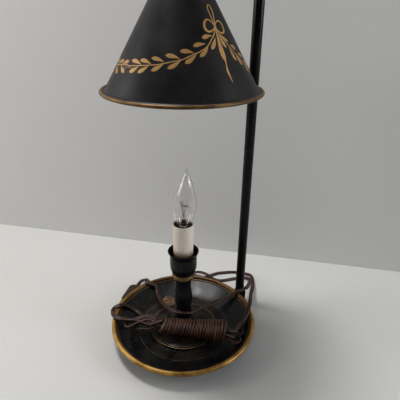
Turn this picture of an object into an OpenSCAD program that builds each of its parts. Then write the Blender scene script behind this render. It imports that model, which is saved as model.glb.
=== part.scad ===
// Bouillotte lamp: a tole dish with a candle light in its middle, and a
// cone shade on a collar that slides and swings on an upright rod.
// The origin is the middle of the dish, on the surface that it stands on.

/* [Dish] */
// Radius of the rolled rim's centre line
rim_r = 83; // [79:0.5:90]
// Height of the rolled rim's centre above the table
rim_h = 20; // [18:0.5:24]
// Radius of the rolled rim's bead
bead_r = 2.7; // [2.2:0.1:3.2]
// Radius of the fine seam inside the bead
hem_r = 78.8; // [77.5:0.1:79.3]
// Height of the fine seam above the wall
hem_h = 1.1; // [0.6:0.1:1.4]
// Thickness of the spun sheet
sheet = 0.8; // [0.6:0.1:1]
// Height of the dish floor above the table
floor_h = 7; // [6.6:0.1:8]
// Outer radius of the flat floor
floor_r = 54; // [50:0.5:60]
// Radius of the step in the middle of the floor
step_r = 40; // [36:0.5:44]
// Height of the step above the floor
step_h = 3.3; // [2.5:0.1:4.5]
// Height of the dome above the step
dome_h = 7.7; // [6:0.1:9.5]
// Radius of the flat seat on top of the dome
seat_r = 12.4; // [11.8:0.1:14]

/* [Base under the dish] */
// Thickness of the felt that the lamp stands on
felt_t = 1.5; // [1:0.1:2]
// Width of the iron ring under the floor
ring_w = 11.5; // [9:0.5:13]
// Width of the strap that carries the rod
strap_w = 16; // [13:0.5:19]
// Thickness of the strap
strap_t = 2; // [1.6:0.1:2.2]
// Direction of the rod from the dish's middle
rod_angle = 36; // [30:1:42]
// Direction in which the cord leaves the base
cord_angle = 97; // [92:1:102]

/* [Stem and cup] */
// Height of the turned stem
stem_h = 63; // [56:0.5:70]
// Largest radius of the stem's vase
vase_r = 10.4; // [9.5:0.1:12]
// Radius of the stem's foot
foot_r = 11.5; // [10.5:0.1:11.8]
// Height of the gilt collar
collar_h = 6.5; // [5.5:0.1:9]
// Largest radius of the gilt collar
collar_r = 12.9; // [11.5:0.1:14.5]
// Radius of the candle cup's body
cup_r = 15.1; // [13.8:0.1:17]
// Height of the candle cup
cup_h = 29; // [26:0.5:34]
// Radius of the candle cup's lip
lip_r = 17.3; // [16.4:0.1:19]
// Thickness of the cup's wall
cup_t = 1; // [0.8:0.1:1.2]
// Radius of the threaded nipple
nipple_r = 5; // [4.6:0.1:5.2]
// Wall of the threaded nipple
nipple_t = 1.5; // [1.2:0.1:1.8]

/* [Candle and bulb] */
// Outer radius of the candle cover
cover_r = 11.2; // [10.6:0.1:12]
// Wall of the candle cover
cover_t = 0.9; // [0.7:0.1:1.2]
// Height of the candle cover
cover_h = 61; // [58:0.5:70]
// Radius of the bulb's screw base
base_r = 5.9; // [5.7:0.05:6.1]
// Length of the bulb's screw base
base_h = 15; // [13:0.5:17]
// Largest radius of the bulb's glass
glass_r = 12.8; // [11:0.1:14]
// Length of the bulb's glass
glass_h = 67; // [60:0.5:72]
// Wall of the glass
glass_t = 0.5; // [0.4:0.05:0.6]
// Lean of the glass on its screw base, in degrees
glass_lean = 3.6; // [0:0.5:4]

/* [Rod and arm] */
// Radius of the rod
rod_r = 5.55; // [4.8:0.05:6.3]
// Gap between the rod and the rim's bead
rod_gap = 1.8; // [0.8:0.05:3]
// Height of the rod's top above the table
rod_top = 438; // [430:1:470]
// Height of the arm above the table
arm_h = 404; // [402:0.5:408]
// Radius of the arm
arm_r = 3; // [2.5:0.1:3.4]
// Radius of the sliding collar
slide_r = 9.8; // [9.4:0.1:11]
// Height of the sliding collar
slide_h = 22; // [19:0.5:24]
// Radius of the thumb screw's head
thumb_r = 6; // [5:0.1:7]

/* [Shade] */
// Radius of the bead's centre line on the shade's lower edge
shade_r = 73.8; // [66:0.1:76]
// Radius of the cone's foot, where its edge turns out to the bead
shade_foot_r = 70.3; // [64:0.1:72]
// Height of the turned-out edge
shade_edge_h = 1.4; // [1:0.1:3]
// Radius of the shade's upper edge
shade_top_r = 11.5; // [11:0.1:14]
// Height of the shade's lower edge above the table
shade_z = 292.2; // [286:0.1:298]
// Height of the shade's cone
shade_h = 104; // [98:0.5:107]
// Thickness of the shade's sheet
shade_t = 0.6; // [0.5:0.05:0.8]
// Radius of the bead on the shade's lower edge
shade_bead_r = 1.6; // [1.3:0.05:1.8]

/* [Cord] */
// Radius of the cord's round envelope
cord_r = 2; // [1.8:0.1:2.1]
// Length of the plug's body
plug_l = 32; // [27:0.5:34]
// Width of the plug's body
plug_w = 18; // [17:0.5:20]
// Thickness of the plug's body
plug_t = 11; // [10:0.5:11.4]

/* [Hidden] */
$fn = 72;

run = 0.05;  // radial clearance of what slides or turns
fit = 0.1;   // clearance of what is seated and stays
fine = 6;    // steps between two knots of a smooth outline

seat_z = floor_h + step_h + dome_h;
step_z = floor_h + step_h;
rod_d = rim_r + bead_r + rod_gap + rod_r;
rod_x = rod_d * cos(rod_angle);
rod_y = rod_d * sin(rod_angle);

strap_top = floor_h - sheet - fit;
strap_low = strap_top - strap_t;
strap_pad_z = seat_z - sheet - fit;
boss_r = rod_r + 2.75;
boss_top = rim_h - bead_r - 2;
rod_screw_r = 2;

ring_r = floor_r - 2;
ring_z = felt_t;
lead_z = 3.1;
bushing_w = 2 * cord_r + 3;
bushing_out = ring_r + 3;

nipple_low = strap_pad_z - strap_t - 6;
washer_t = 1;
nut_t = 3.2;
nut_r = nipple_r + 3.1;

stem_top = seat_z + stem_h;
cup_z = stem_top + collar_h;
cup_top = cup_z + cup_h;
cup_floor = cup_z + cup_t;
bracket_z = cup_floor;
bracket_ring_h = 4;
bracket_r = nipple_r + 3;
nipple_top = bracket_z + bracket_ring_h + 1.5;

bowl_r = min(6.3, cup_r - bracket_r - 0.8);
bowl_h = cup_h * 0.4;
cover_seat = asin(min(0.97, (cover_r + cup_t - cup_r + bowl_r) / bowl_r));
cover_z = cup_z + bowl_h * (1 - cos(cover_seat)) + 0.7 * cup_t + fit;
cover_top = cover_z + cover_h;
bore_r = cover_r - cover_t;
shell_r = base_r + 0.35;
shell_t = 0.4;
socket_r = bore_r - 0.6;
socket_top = cover_top - 2;
socket_h = 34;
socket_z = socket_top - socket_h;
seam_z = socket_top - 1;
base_z = seam_z - base_h;
shell_z = base_z - 1.2;
socket_cave_r = 4.6;
socket_cave_h = 5;
socket_screw_z = socket_z + 8;
bracket_leg_t = 1.2;
lead_top = socket_z - 1;

bush_r = rod_r + 1.25;
bush_z = arm_h - slide_h / 2 - 1.7;
bush_flange = 1.6;
clip_t = 1;
bush_top = arm_h + slide_h / 2 + 2.6;
eye_r = 7.5;
eye_h = 7;
stud_r = 3.05;
thumb_angle = rod_angle + 90;

shade_top = shade_z + shade_h;
cap_t = 1.4;
cap_z = shade_top;
shoulder_z = cap_z + cap_t;
shoulder_top = arm_h - eye_h / 2 - run;
eye_top = arm_h + eye_h / 2;

hank_a = [-27, -20.7, 28.6];
hank_b = [46, -28, 24.6];
plug_rear = [-65.2, 81.4, 5.8];
plug_turn = 252.5;
blade_gap = 12.7;
blade_l = 17;

// The route from the bushing to the right end of the hank
lamp_run = [
    [-6.8, 55.2, 3.1], [-7.4, 62, 3.1], [-4, 74, 2.7], [6, 87, 2.4],
    [20, 98, 2.4], [46, 113.5, 2.4], [60, 117, 2.4],
    [76, 118, 2.4], [91, 114, 2.6], [98.5, 106, 4.5], [99.5, 92, 8],
    [96, 68, 13], [90, 47, 18], [85, 25, 24.8], [80.2, 8, 25.5],
    [75.5, 0, 20], [70, -5, 17], [66, -11, 17], [63.5, -19, 19.5],
    [61, -26, 22.6], [57.5, -29.2, 24], [54.1, -28.8, 24.1]
];
// The route from the left end of the hank to the plug
plug_run = [
    [-35, -19.9, 29.1], [-38.5, -19.5, 29.2], [-44, -16, 28],
    [-54, -8.5, 25.5], [-66, -6, 24.5],
    [-76, -6, 26.2], [-83, -1.5, 26.2], [-86.2, 6, 25], [-87, 14, 20.5],
    [-85.4, 19.5, 14], [-80.5, 23.5, 7], [-72, 26.5, 3.3],
    [-61, 34.5, 2.4], [-49, 51, 2.4], [-36, 65, 2.4], [-20, 76, 2.4],
    [-7, 91, 2.4],
    [4, 107, 2.4], [15, 114.5, 4], [25, 111, 7.2], [35, 105, 6.9],
    [44, 100, 3.4],
    [55, 97.5, 2.4], [79, 103, 2.4], [90, 103.5, 2.4],
    [95.5, 97, 4], [94, 83, 9.5], [89, 66, 17], [83.2, 50.2, 24.5],
    [74, 44, 26], [69, 42, 25.4], [63, 40, 22.8], [55.5, 37, 20.5],
    [48.5, 33, 19.5], [40.5, 28, 20], [32, 20, 23], [24, 9.5, 27.2],
    [15.5, -2.5, 33], [7, -10.5, 37.2], [-1, -12, 38.8],
    [-10.4, -8, 37.6], [-15.6, 2.5, 31.4], [-21, 16, 24.5], [-27.5, 32, 17.5],
    [-31, 43, 13.6], [-34, 54, 13.2], [-36, 61.5, 16.5],
    [-38.5, 64.5, 20.2], [-42.5, 64, 22], [-47.6, 62.5, 24.2],
    [-51.2, 66.3, 26], [-50, 74.5, 22.6], [-49.2, 82, 15.2],
    [-49.8, 89, 9.2], [-53.2, 94.4, 6.4], [-58.8, 94.6, 5.8],
    [-62.6, 89.4, 5.8], plug_rear
];

function unit(v) = v / norm(v);
function side(a, b) = let (d = unit(b - a)) [d[1], -d[0]];

// A smooth curve through the points of a list, with n steps between two
function blend4(a, b, c, d, t) =
    0.5 * (2 * b + (c - a) * t + (2 * a - 5 * b + 4 * c - d) * t * t
    + (3 * b - a - 3 * c + d) * t * t * t);
function smooth(p, n) = concat(
    [for (i = [0 : len(p) - 2], k = [0 : n - 1])
        blend4(p[max(i - 1, 0)], p[i], p[i + 1], p[min(i + 2, len(p) - 1)],
            k / n)],
    [p[len(p) - 1]]);

// A lathe outline whose knots [radius, height] are its widest and narrowest
// places, joined by half waves
function turned(p, n = fine) = concat(
    [for (i = [0 : len(p) - 2], k = [0 : n - 1])
        let (s = (1 - cos(180 * k / n)) / 2)
        [p[i][0] + (p[i + 1][0] - p[i][0]) * s,
            p[i][1] + (p[i + 1][1] - p[i][1]) * k / n]],
    [p[len(p) - 1]]);

// The outline moved to its right by t, with mitred corners
function beside(p, t) = [for (i = [0 : len(p) - 1])
    let (
        a = i > 0 ? side(p[i - 1], p[i]) : side(p[0], p[1]),
        b = i < len(p) - 1 ? side(p[i], p[i + 1]) : a
    )
    p[i] + t * (a + b) / (1 + a * b)];
function turn_back(p) = [for (i = [len(p) - 1 : -1 : 0]) p[i]];

// A sheet of thickness t to the right of an outline
function skin(p, t) = concat(p, turn_back(beside(p, t)));

module lathe(points) {
    rotate_extrude() polygon(points);
}

module tube(r, bore, h) {
    difference() {
        cylinder(r = r, h = h);
        translate([0, 0, -1]) cylinder(r = bore, h = h + 2);
    }
}

module at_rod(z = 0) {
    translate([rod_x, rod_y, z]) children();
}

// A cord of radius r with n sides, swept along a list of points
module sweep(path, r, n) {
    last = len(path) - 1;
    rings = [for (i = [0 : last])
        let (
            t = unit(path[min(i + 1, last)] - path[max(i - 1, 0)]),
            u = unit(cross(t, [0, 0, 1])),
            v = cross(u, t)
        )
        for (k = [0 : n - 1])
            path[i] + r * (cos(360 * k / n) * u + sin(360 * k / n) * v)];
    walls = [for (i = [0 : last - 1], k = [0 : n - 1])
        let (a = i * n + k, b = i * n + (k + 1) % n)
        each [[a, b, b + n], [a, b + n, a + n]]];
    near = [for (k = [n - 1 : -1 : 0]) k];
    far = [for (k = [0 : n - 1]) last * n + k];
    polyhedron(points = rings, faces = concat([near], walls, [far]));
}

// Outline of the dish's upper side, from the nipple's hole to its edge
wall_end = [rim_r - 0.9, rim_h];
dish_line = concat(
    [[nipple_r + fit, seat_z], [seat_r, seat_z]],
    [for (k = [1 : 8])
        let (s = k / 8)
        [seat_r + (step_r - 2 - seat_r) * s,
            seat_z - dome_h * (0.35 * s + 0.65 * s * s)]],
    [[step_r - 0.6, step_z], [step_r, step_z - 0.6], [step_r, floor_h]],
    [[floor_r, floor_h]],
    [for (k = [1 : 10])
        let (s = k / 10)
        [floor_r + (wall_end[0] - floor_r) * s,
            floor_h + (rim_h - floor_h) * pow(s, 1.25)]]);

function wall_z(r) = floor_h + (rim_h - floor_h)
    * pow((r - floor_r) / (wall_end[0] - floor_r), 1.25);

// The seam's steps [radius, height above the wall], with its run to the bead
seam_low = run + 0.03;
hem_steps = [
    [hem_r - 0.55, seam_low], [hem_r - 0.55, hem_h * 0.6],
    [hem_r - 0.25, hem_h], [hem_r + 0.25, hem_h],
    [hem_r + 0.6, 0.45], [rim_r - bead_r + 0.3, 0.45],
    [rim_r - 1.2, 0.45], [rim_r - 1.2, seam_low], [rim_r - bead_r, seam_low]
];

module dish() {
    color([0.09, 0.08, 0.08]) lathe(skin(dish_line, sheet));
}

module dish_rim() {
    lift = [for (p = dish_line) p + [0, run]];
    color([0.72, 0.55, 0.27]) {
        rotate_extrude() difference() {
            translate([rim_r, rim_h]) circle(r = bead_r, $fn = 48);
            polygon(skin(lift, sheet + 2 * run));
        }
        lathe([for (p = hem_steps) [p[0], p[1] + wall_z(p[0])]]);
    }
}

module sector_cut(angle, w, z0, z1) {
    rotate([0, 0, angle]) translate([ring_r - ring_w - 2, -w / 2, z0])
        cube([ring_w + 4, w, z1 - z0]);
}

module base_ring() {
    color([0.16, 0.15, 0.14]) difference() {
        translate([0, 0, ring_z])
            tube(ring_r, ring_r - ring_w, floor_h - sheet - fit - ring_z);
        sector_cut(rod_angle, strap_w + 2 * fit, strap_low - fit, floor_h);
        sector_cut(cord_angle, bushing_w + 2 * fit, 0, floor_h);
    }
}

module felt_ring() {
    color([0.1, 0.2, 0.14]) difference() {
        tube(ring_r, ring_r - ring_w, felt_t);
        sector_cut(cord_angle, bushing_w + 2 * fit, -1, felt_t + 1);
    }
}

module rod_strap() {
    run_in = sqrt(seat_r * seat_r - strap_w * strap_w / 4);
    run_out = step_r - 2.5;
    bend = max(run_in - 0.6, nut_r + 0.3);
    top = [
        [-run_in, strap_pad_z], [run_in, strap_pad_z],
        [run_out, strap_top], [rod_d, strap_top]
    ];
    low = [
        [rod_d, strap_low], [run_out - 0.6, strap_low],
        [bend, strap_pad_z - strap_t], [-run_in, strap_pad_z - strap_t]
    ];
    color([0.12, 0.11, 0.11]) rotate([0, 0, rod_angle]) difference() {
        union() {
            rotate([90, 0, 0]) linear_extrude(height = strap_w, center = true)
                polygon(concat(top, low));
            translate([rod_d, 0, strap_low])
                cylinder(r = boss_r, h = boss_top - strap_low);
        }
        translate([0, 0, strap_low]) cylinder(r = nipple_r + fit, h = 20);
        translate([rod_d, 0, strap_top])
            cylinder(r = rod_r + run, h = boss_top);
        translate([rod_d, 0, strap_low - 1])
            cylinder(r = rod_screw_r + fit, h = strap_t + 2);
        translate([rod_d, 0, strap_low - 0.01])
            cylinder(r1 = rod_screw_r * 2, r2 = rod_screw_r + fit, h = 1.5);
    }
}

module strap_foot() {
    color([0.08, 0.08, 0.08]) at_rod() difference() {
        cylinder(r = boss_r - 0.5, h = strap_low - run);
        translate([0, 0, strap_low - 1.2])
            cylinder(r = rod_screw_r * 2 + 0.3, h = 2);
    }
}

module rod_screw() {
    color([0.6, 0.6, 0.58]) at_rod(strap_low) {
        translate([0, 0, 0.05])
            cylinder(r1 = rod_screw_r * 2 - 0.15, r2 = rod_screw_r, h = 1.4);
        translate([0, 0, 1]) cylinder(r = rod_screw_r, h = strap_t + 9);
    }
}

module nipple() {
    color([0.72, 0.6, 0.33]) translate([0, 0, nipple_low])
        tube(nipple_r, nipple_r - nipple_t, nipple_top - nipple_low);
}

module hex_nut(r, bore, h) {
    difference() {
        cylinder(r = r, h = h, $fn = 6);
        translate([0, 0, -1]) cylinder(r = bore, h = h + 2, $fn = 72);
    }
}

module base_nut() {
    z = strap_pad_z - strap_t - washer_t - nut_t;
    color([0.7, 0.66, 0.55]) translate([0, 0, z - 2 * run])
        hex_nut(nut_r, nipple_r + run, nut_t);
}

module lock_washer() {
    color([0.6, 0.6, 0.58])
        translate([0, 0, strap_pad_z - strap_t - washer_t - run])
        tube(nut_r, nipple_r + fit, washer_t);
}

stem_line = turned([
    [foot_r, seat_z], [foot_r, seat_z + stem_h * 0.047],
    [foot_r - 2.3, seat_z + stem_h * 0.13],
    [foot_r - 1.1, seat_z + stem_h * 0.205],
    [vase_r - 2.1, seat_z + stem_h * 0.31], [vase_r, seat_z + stem_h * 0.53],
    [vase_r - 1.7, seat_z + stem_h * 0.85], [vase_r - 1.3, stem_top]
]);

module stem() {
    color([0.08, 0.08, 0.1]) lathe(concat(
        [[nipple_r + fit, seat_z]], stem_line, [[nipple_r + fit, stem_top]]));
}

module gilt_collar() {
    outline = turned([
        [collar_r - 3.2, 0], [collar_r, collar_h * 0.5],
        [collar_r, collar_h * 0.75], [collar_r - 1.2, collar_h]
    ], 5);
    color([0.66, 0.47, 0.26]) translate([0, 0, stem_top]) lathe(concat(
        [[nipple_r + fit, 0]], outline, [[nipple_r + fit, collar_h]]));
}

// Outline of the cup's outer side, from the nipple's hole to its lip
cup_line = concat(
    [[nipple_r + fit, 0], [cup_r - bowl_r, 0]],
    [for (k = [1 : 8])
        let (a = 90 * k / 8)
        [cup_r - bowl_r + bowl_r * sin(a), bowl_h * (1 - cos(a))]],
    [[cup_r, cup_h * 0.72]],
    [for (k = [1 : 5])
        let (s = k / 5)
        [cup_r + (lip_r - cup_r) * s * s, cup_h * (0.72 + 0.28 * s)]]);

module candle_cup() {
    color([0.09, 0.08, 0.09]) translate([0, 0, cup_z]) {
        lathe(skin(cup_line, -cup_t));
        translate([0, 0, cup_h - 0.2]) rotate_extrude()
            translate([lip_r - cup_t / 2, 0]) circle(r = cup_t * 0.75);
    }
}

module socket_bracket() {
    leg_h = socket_screw_z + 4 - bracket_z;
    color([0.68, 0.65, 0.58]) difference() {
        translate([0, 0, bracket_z + run]) {
            tube(bracket_r, nipple_r + run, bracket_ring_h);
            for (s = [-1, 1])
                translate([-3, s * (bracket_r - bracket_leg_t / 2), 0])
                translate([0, -bracket_leg_t / 2, 0])
                cube([6, bracket_leg_t, leg_h]);
        }
        translate([0, 0, socket_screw_z]) rotate([90, 0, 0])
            cylinder(r = 1 + fit, h = 3 * bracket_r, center = true);
    }
}

module socket_body() {
    leg_y = bracket_r - bracket_leg_t - fit;
    color([0.2, 0.16, 0.13]) difference() {
        translate([0, 0, socket_z]) cylinder(r = socket_r, h = socket_h);
        translate([0, 0, shell_z - run])
            cylinder(r = shell_r + shell_t + run, h = base_h + 4);
        for (s = [0, 180]) rotate([0, 0, s])
            translate([-3 - fit, leg_y, socket_z - 1])
            cube([6 + 2 * fit, socket_r, socket_screw_z + 5 - socket_z + fit]);
        translate([0, 0, socket_z - 1])
            cylinder(r = socket_cave_r, h = socket_cave_h + 1);
        translate([0, 0, socket_z]) cylinder(r = 1.5 + run, h = socket_h);
        translate([0, 0, socket_screw_z]) rotate([90, 0, 0])
            cylinder(r = 1 + run, h = 3 * socket_r, center = true);
    }
}

module socket_screw() {
    reach = bracket_r + run;
    color([0.7, 0.66, 0.5]) translate([0, 0, socket_screw_z])
        for (s = [0, 180]) rotate([90, 0, s]) {
            translate([0, 0, reach - 4.2]) cylinder(r = 1, h = 4.3);
            translate([0, 0, reach]) cylinder(r = 1.9, h = 1);
        }
}

module screw_shell() {
    color([0.78, 0.62, 0.3]) translate([0, 0, shell_z]) difference() {
        cylinder(r = shell_r + shell_t, h = socket_top - shell_z);
        translate([0, 0, shell_t])
            cylinder(r = shell_r, h = socket_top - shell_z);
        translate([0, 0, -1]) cylinder(r = 3.4, h = 3);
    }
}

module center_contact() {
    low = socket_z + socket_cave_h - 1;
    color([0.78, 0.62, 0.3]) {
        translate([0, 0, shell_z]) cylinder(r = 2.6, h = 0.1 + run);
        translate([0, 0, low]) cylinder(r = 1.5, h = shell_z - low + 0.1);
    }
}

module candle_cover() {
    color([0.87, 0.83, 0.74]) translate([0, 0, cover_z])
        tube(cover_r, bore_r, cover_h);
}

module bulb_base() {
    ridge = 0.25;
    turns = 5;
    outline = concat(
        [[base_r - 1.2, 2.2], [base_r - ridge, 2.6]],
        [for (i = [0 : turns * 6])
            [base_r - ridge + ridge * cos(60 * i),
                3.2 + (base_h - 4.6) * i / (turns * 6)]],
        [[base_r, base_h - 0.6], [base_r, base_h], [base_r - 0.4, base_h]],
        [[base_r - 0.8, 2.8], [base_r - 1.2, 2.8]]);
    color([0.8, 0.66, 0.36]) translate([0, 0, base_z]) lathe(outline);
}

module bulb_insulator() {
    color([0.1, 0.09, 0.1]) translate([0, 0, base_z]) difference() {
        cylinder(r1 = 2.6, r2 = base_r - 1.3, h = 2.6);
        translate([0, 0, -1]) cylinder(r = 1.4, h = 5);
    }
}

module bulb_contact() {
    color([0.75, 0.75, 0.74]) {
        translate([0, 0, base_z - 0.5]) cylinder(r = 1.35, h = 2.6);
        translate([0, 0, base_z - 0.95]) cylinder(r1 = 1.6, r2 = 2.3, h = 0.9);
    }
}

module on_bulb() {
    translate([0, 0, seam_z]) rotate([0, glass_lean, 0]) children();
}

// Outline of the glass, from its neck to its tip
glass_line = smooth([
    [base_r - 1.2, 0], [base_r + 1, glass_h * 0.04],
    [glass_r * 0.78, glass_h * 0.15], [glass_r * 0.95, glass_h * 0.26],
    [glass_r, glass_h * 0.36], [glass_r * 0.97, glass_h * 0.45],
    [glass_r * 0.86, glass_h * 0.55], [glass_r * 0.65, glass_h * 0.68],
    [glass_r * 0.43, glass_h * 0.8], [glass_r * 0.23, glass_h * 0.875],
    [glass_r * 0.14, glass_h * 0.905], [glass_r * 0.09, glass_h * 0.95],
    [glass_r * 0.05, glass_h]
], 3);

module bulb_glass() {
    inside = [for (p = beside(glass_line, -glass_t))
        if (p[0] > glass_t * 0.6 && p[1] > 0.8) p];
    top = inside[len(inside) - 1];
    color([0.85, 0.88, 0.88, 0.35]) on_bulb() lathe(concat(
        [[4.1, 0]], glass_line, [[0, glass_h + 0.2], [0, top[1]]],
        turn_back(inside), [[4.1, 0.8]]));
}

module bulb_mount() {
    color([0.85, 0.88, 0.88, 0.5]) on_bulb() {
        translate([0, 0, -0.6]) cylinder(r1 = 4.05, r2 = 1.7, h = 7);
        translate([0, 0, 6]) cylinder(r = 1.4, h = 5);
        translate([0, 0, 10.5]) cylinder(r = 2.2, h = 1.6);
        translate([0, 0, 12]) cylinder(r = 0.9, h = 3);
        translate([0, 0, 15.4]) sphere(r = 1.3);
    }
}

module wire(a, b, r) {
    d = b - a;
    translate(a) rotate([0, acos(d[2] / norm(d)), atan2(d[1], d[0])])
        cylinder(r = r, h = norm(d), $fn = 16);
}

wire_r = 0.3;
wire_tops = [[-4.9, 1.2, 28], [-2.9, -1.4, 29.6], [0.8, 0.4, 23.6]];
module bulb_wires() {
    color([0.5, 0.48, 0.46]) on_bulb() {
        wire([-1.4, 0.6, 11.6], wire_tops[0], wire_r);
        wire([-0.4, -1.4, 11.6], wire_tops[1], wire_r);
        wire([0.2, 0, 15.9], wire_tops[2], wire_r);
    }
}

module bulb_filament() {
    bend = [5.2, 0, 23.2];
    color([0.35, 0.33, 0.32]) on_bulb() {
        wire(wire_tops[0], bend + [0, 0.6, 0], 0.4);
        wire(wire_tops[1], bend - [0, 0.6, 0], 0.4);
        translate(bend) sphere(r = 0.9);
    }
}

module supply_lead() {
    color([0.3, 0.18, 0.13]) {
        translate([0, 0, lead_z - 1])
            cylinder(r = cord_r - 0.1, h = lead_top - lead_z + 1);
        rotate([0, 0, cord_angle]) translate([-cord_r, 0, lead_z])
            rotate([0, 90, 0]) cylinder(r = cord_r, h = bushing_out + cord_r);
        for (s = [-1, 1]) translate([s, 0, lead_top - 1])
            cylinder(r = 0.8, h = 1 + socket_z - lead_top + socket_cave_h - 1.5);
    }
}

module cord_bushing() {
    low = 0.3;
    depth = bushing_out - (ring_r - ring_w) - 2;
    color([0.07, 0.06, 0.06]) rotate([0, 0, cord_angle])
        translate([ring_r - ring_w + 2, 0, 0]) difference() {
            union() {
                translate([0, -bushing_w / 2, low])
                    cube([depth, bushing_w, floor_h - sheet - fit - low]);
            }
            translate([-1, 0, lead_z]) rotate([0, 90, 0])
                cylinder(r = cord_r + run, h = depth + 2);
        }
}

module rod() {
    color([0.1, 0.1, 0.1]) at_rod(strap_top) difference() {
        cylinder(r = rod_r, h = rod_top - strap_top);
        translate([0, 0, -1]) cylinder(r = rod_screw_r + run, h = 13);
        translate([0, 0, rod_top - strap_top - 9]) cylinder(r = 2, h = 10);
    }
}

module rod_finial() {
    outline = turned([
        [rod_r + 0.9, 0], [rod_r + 0.9, 1.6], [3.2, 4.2], [6.6, 10.4], [1.6, 16],
        [2.2, 18], [0.2, 19.6]
    ], 5);
    color([0.72, 0.55, 0.27]) at_rod(rod_top) {
        lathe(concat([[0, 0]], outline, [[0, 19.6]]));
        translate([0, 0, -8]) cylinder(r = 2 - run, h = 9);
    }
}

module collar_bush() {
    clip_z = arm_h + slide_h / 2 + 0.2;
    color([0.75, 0.6, 0.32]) at_rod() difference() {
        union() {
            translate([0, 0, bush_z]) cylinder(r = bush_r, h = bush_top - bush_z);
            translate([0, 0, bush_z]) cylinder(r = slide_r, h = bush_flange);
        }
        translate([0, 0, bush_z - 1])
            cylinder(r = rod_r + run, h = bush_top - bush_z + 2);
        translate([0, 0, clip_z]) tube(bush_r + 1, bush_r - 0.45, clip_t + 0.1);
    }
}

module retaining_ring() {
    color([0.6, 0.6, 0.58]) at_rod(arm_h + slide_h / 2 + 0.25)
        difference() {
            tube(bush_r + 2, bush_r - 0.4, clip_t);
            rotate([0, 0, rod_angle]) translate([0, -3, -1]) cube([20, 6, 4]);
        }
}

module slide_collar() {
    z = arm_h - slide_h / 2;
    groove = [for (k = [0 : 8]) [slide_r - 0.7 * sin(180 * k / 8), 0.9 * k / 4]];
    outline = concat(
        [[bush_r + run, 0], [slide_r - 0.6, 0], [slide_r, 0.6]],
        [for (p = groove) p + [0, 1.6]],
        [for (p = groove) p + [0, slide_h - 3.4]],
        [[slide_r, slide_h - 0.6], [slide_r - 0.6, slide_h]],
        [[bush_r + run, slide_h]]);
    color([0.1, 0.1, 0.1]) at_rod(z) difference() {
        lathe(outline);
        translate([0, 0, slide_h / 2]) rotate([0, 90, thumb_angle])
            cylinder(r = rod_screw_r + run, h = slide_r + 2);
        translate([0, 0, slide_h / 2]) rotate([0, -90, rod_angle])
            translate([0, 0, bush_r + 0.8]) cylinder(r = arm_r + run, h = 9);
    }
}

module arm() {
    color([0.1, 0.1, 0.1]) difference() {
        union() {
            translate([0, 0, arm_h]) rotate([0, 90, rod_angle])
                cylinder(r = arm_r, h = rod_d - bush_r - 1);
            translate([0, 0, arm_h - eye_h / 2]) cylinder(r = eye_r, h = eye_h);
        }
        translate([0, 0, arm_h - eye_h]) cylinder(r = stud_r + run, h = 2 * eye_h);
    }
}

module thumb_screw() {
    head_at = slide_r + 5;
    color([0.75, 0.6, 0.32]) at_rod(arm_h) rotate([0, 90, thumb_angle]) {
        translate([0, 0, bush_r + 0.3])
            cylinder(r = rod_screw_r, h = head_at - bush_r);
        translate([0, 0, slide_r + 2]) cylinder(r = 3.2, h = 3.2);
        translate([0, 0, head_at]) cylinder(r = thumb_r, h = 4.5, $fn = 12);
        translate([0, 0, head_at + 4.4])
            cylinder(r1 = thumb_r - 1.2, r2 = thumb_r - 3, h = 1);
    }
}

shade_line = [
    [shade_top_r, shade_h], [shade_foot_r, shade_edge_h],
    [shade_r - 0.45 * shade_bead_r, 0.2]
];

module shade() {
    color([0.1, 0.1, 0.1]) translate([0, 0, shade_z])
        lathe(skin(shade_line, shade_t));
}

module shade_rim() {
    end = shade_line[2] + run * unit(shade_line[2] - shade_line[1]);
    pushed = beside([shade_line[0], shade_line[1], end], -run);
    color([0.6, 0.46, 0.26]) translate([0, 0, shade_z]) rotate_extrude()
        difference() {
            translate([shade_r, 0]) circle(r = shade_bead_r, $fn = 48);
            polygon(skin(pushed, shade_t + 2 * run));
        }
}

module shade_cap() {
    lip = 4;
    slope = (shade_foot_r - shade_top_r) / (shade_h - shade_edge_h);
    grip = (shade_t + 0.15) * sqrt(1 + slope * slope);
    cap_r = shade_top_r + 0.3;
    color([0.1, 0.1, 0.1]) translate([0, 0, cap_z]) lathe([
        [3.2, run], [shade_top_r - grip, run],
        [shade_top_r - grip + lip * slope, -lip],
        [shade_top_r - grip - 0.8 + lip * slope, -lip],
        [shade_top_r - grip - 1.4, -1], [3.2, -1]
    ]);
    color([0.1, 0.1, 0.1]) translate([0, 0, cap_z + run]) tube(cap_r, 3.2, cap_t - run);
}

module shade_stud() {
    color([0.75, 0.6, 0.32]) {
        translate([0, 0, cap_z - 6]) cylinder(r = 3, h = shoulder_z - cap_z + 7);
        translate([0, 0, shoulder_z + run])
            cylinder(r = 5, h = shoulder_top - shoulder_z - run);
        translate([0, 0, shoulder_top - 0.1])
            cylinder(r = stud_r, h = eye_top - shoulder_top + 7);
    }
}

module cap_nut() {
    color([0.72, 0.6, 0.33]) translate([0, 0, cap_z - 1 - run - 2.8])
        hex_nut(5.8, 3 + run, 2.8);
}

module eye_washer() {
    color([0.75, 0.6, 0.32]) translate([0, 0, eye_top + run])
        tube(6.4, stud_r + run, 0.9);
}

module shade_finial() {
    outline = turned([
        [5.4, 0], [5.4, 1.4], [3.4, 3.6], [6, 9.5], [2.2, 14.6], [3, 17],
        [0.2, 19.6]
    ], 5);
    color([0.72, 0.55, 0.27]) translate([0, 0, eye_top + 1])
        difference() {
            lathe(concat([[0, 0]], outline, [[0, 19.6]]));
            translate([0, 0, -1]) cylinder(r = stud_r + run, h = 7.5);
        }
}

module cord_lamp_run() {
    color([0.3, 0.18, 0.13]) sweep(smooth(lamp_run, 1), cord_r, 10);
}

module cord_plug_run() {
    color([0.3, 0.18, 0.13]) sweep(smooth(plug_run, 1), cord_r, 10);
}

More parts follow.
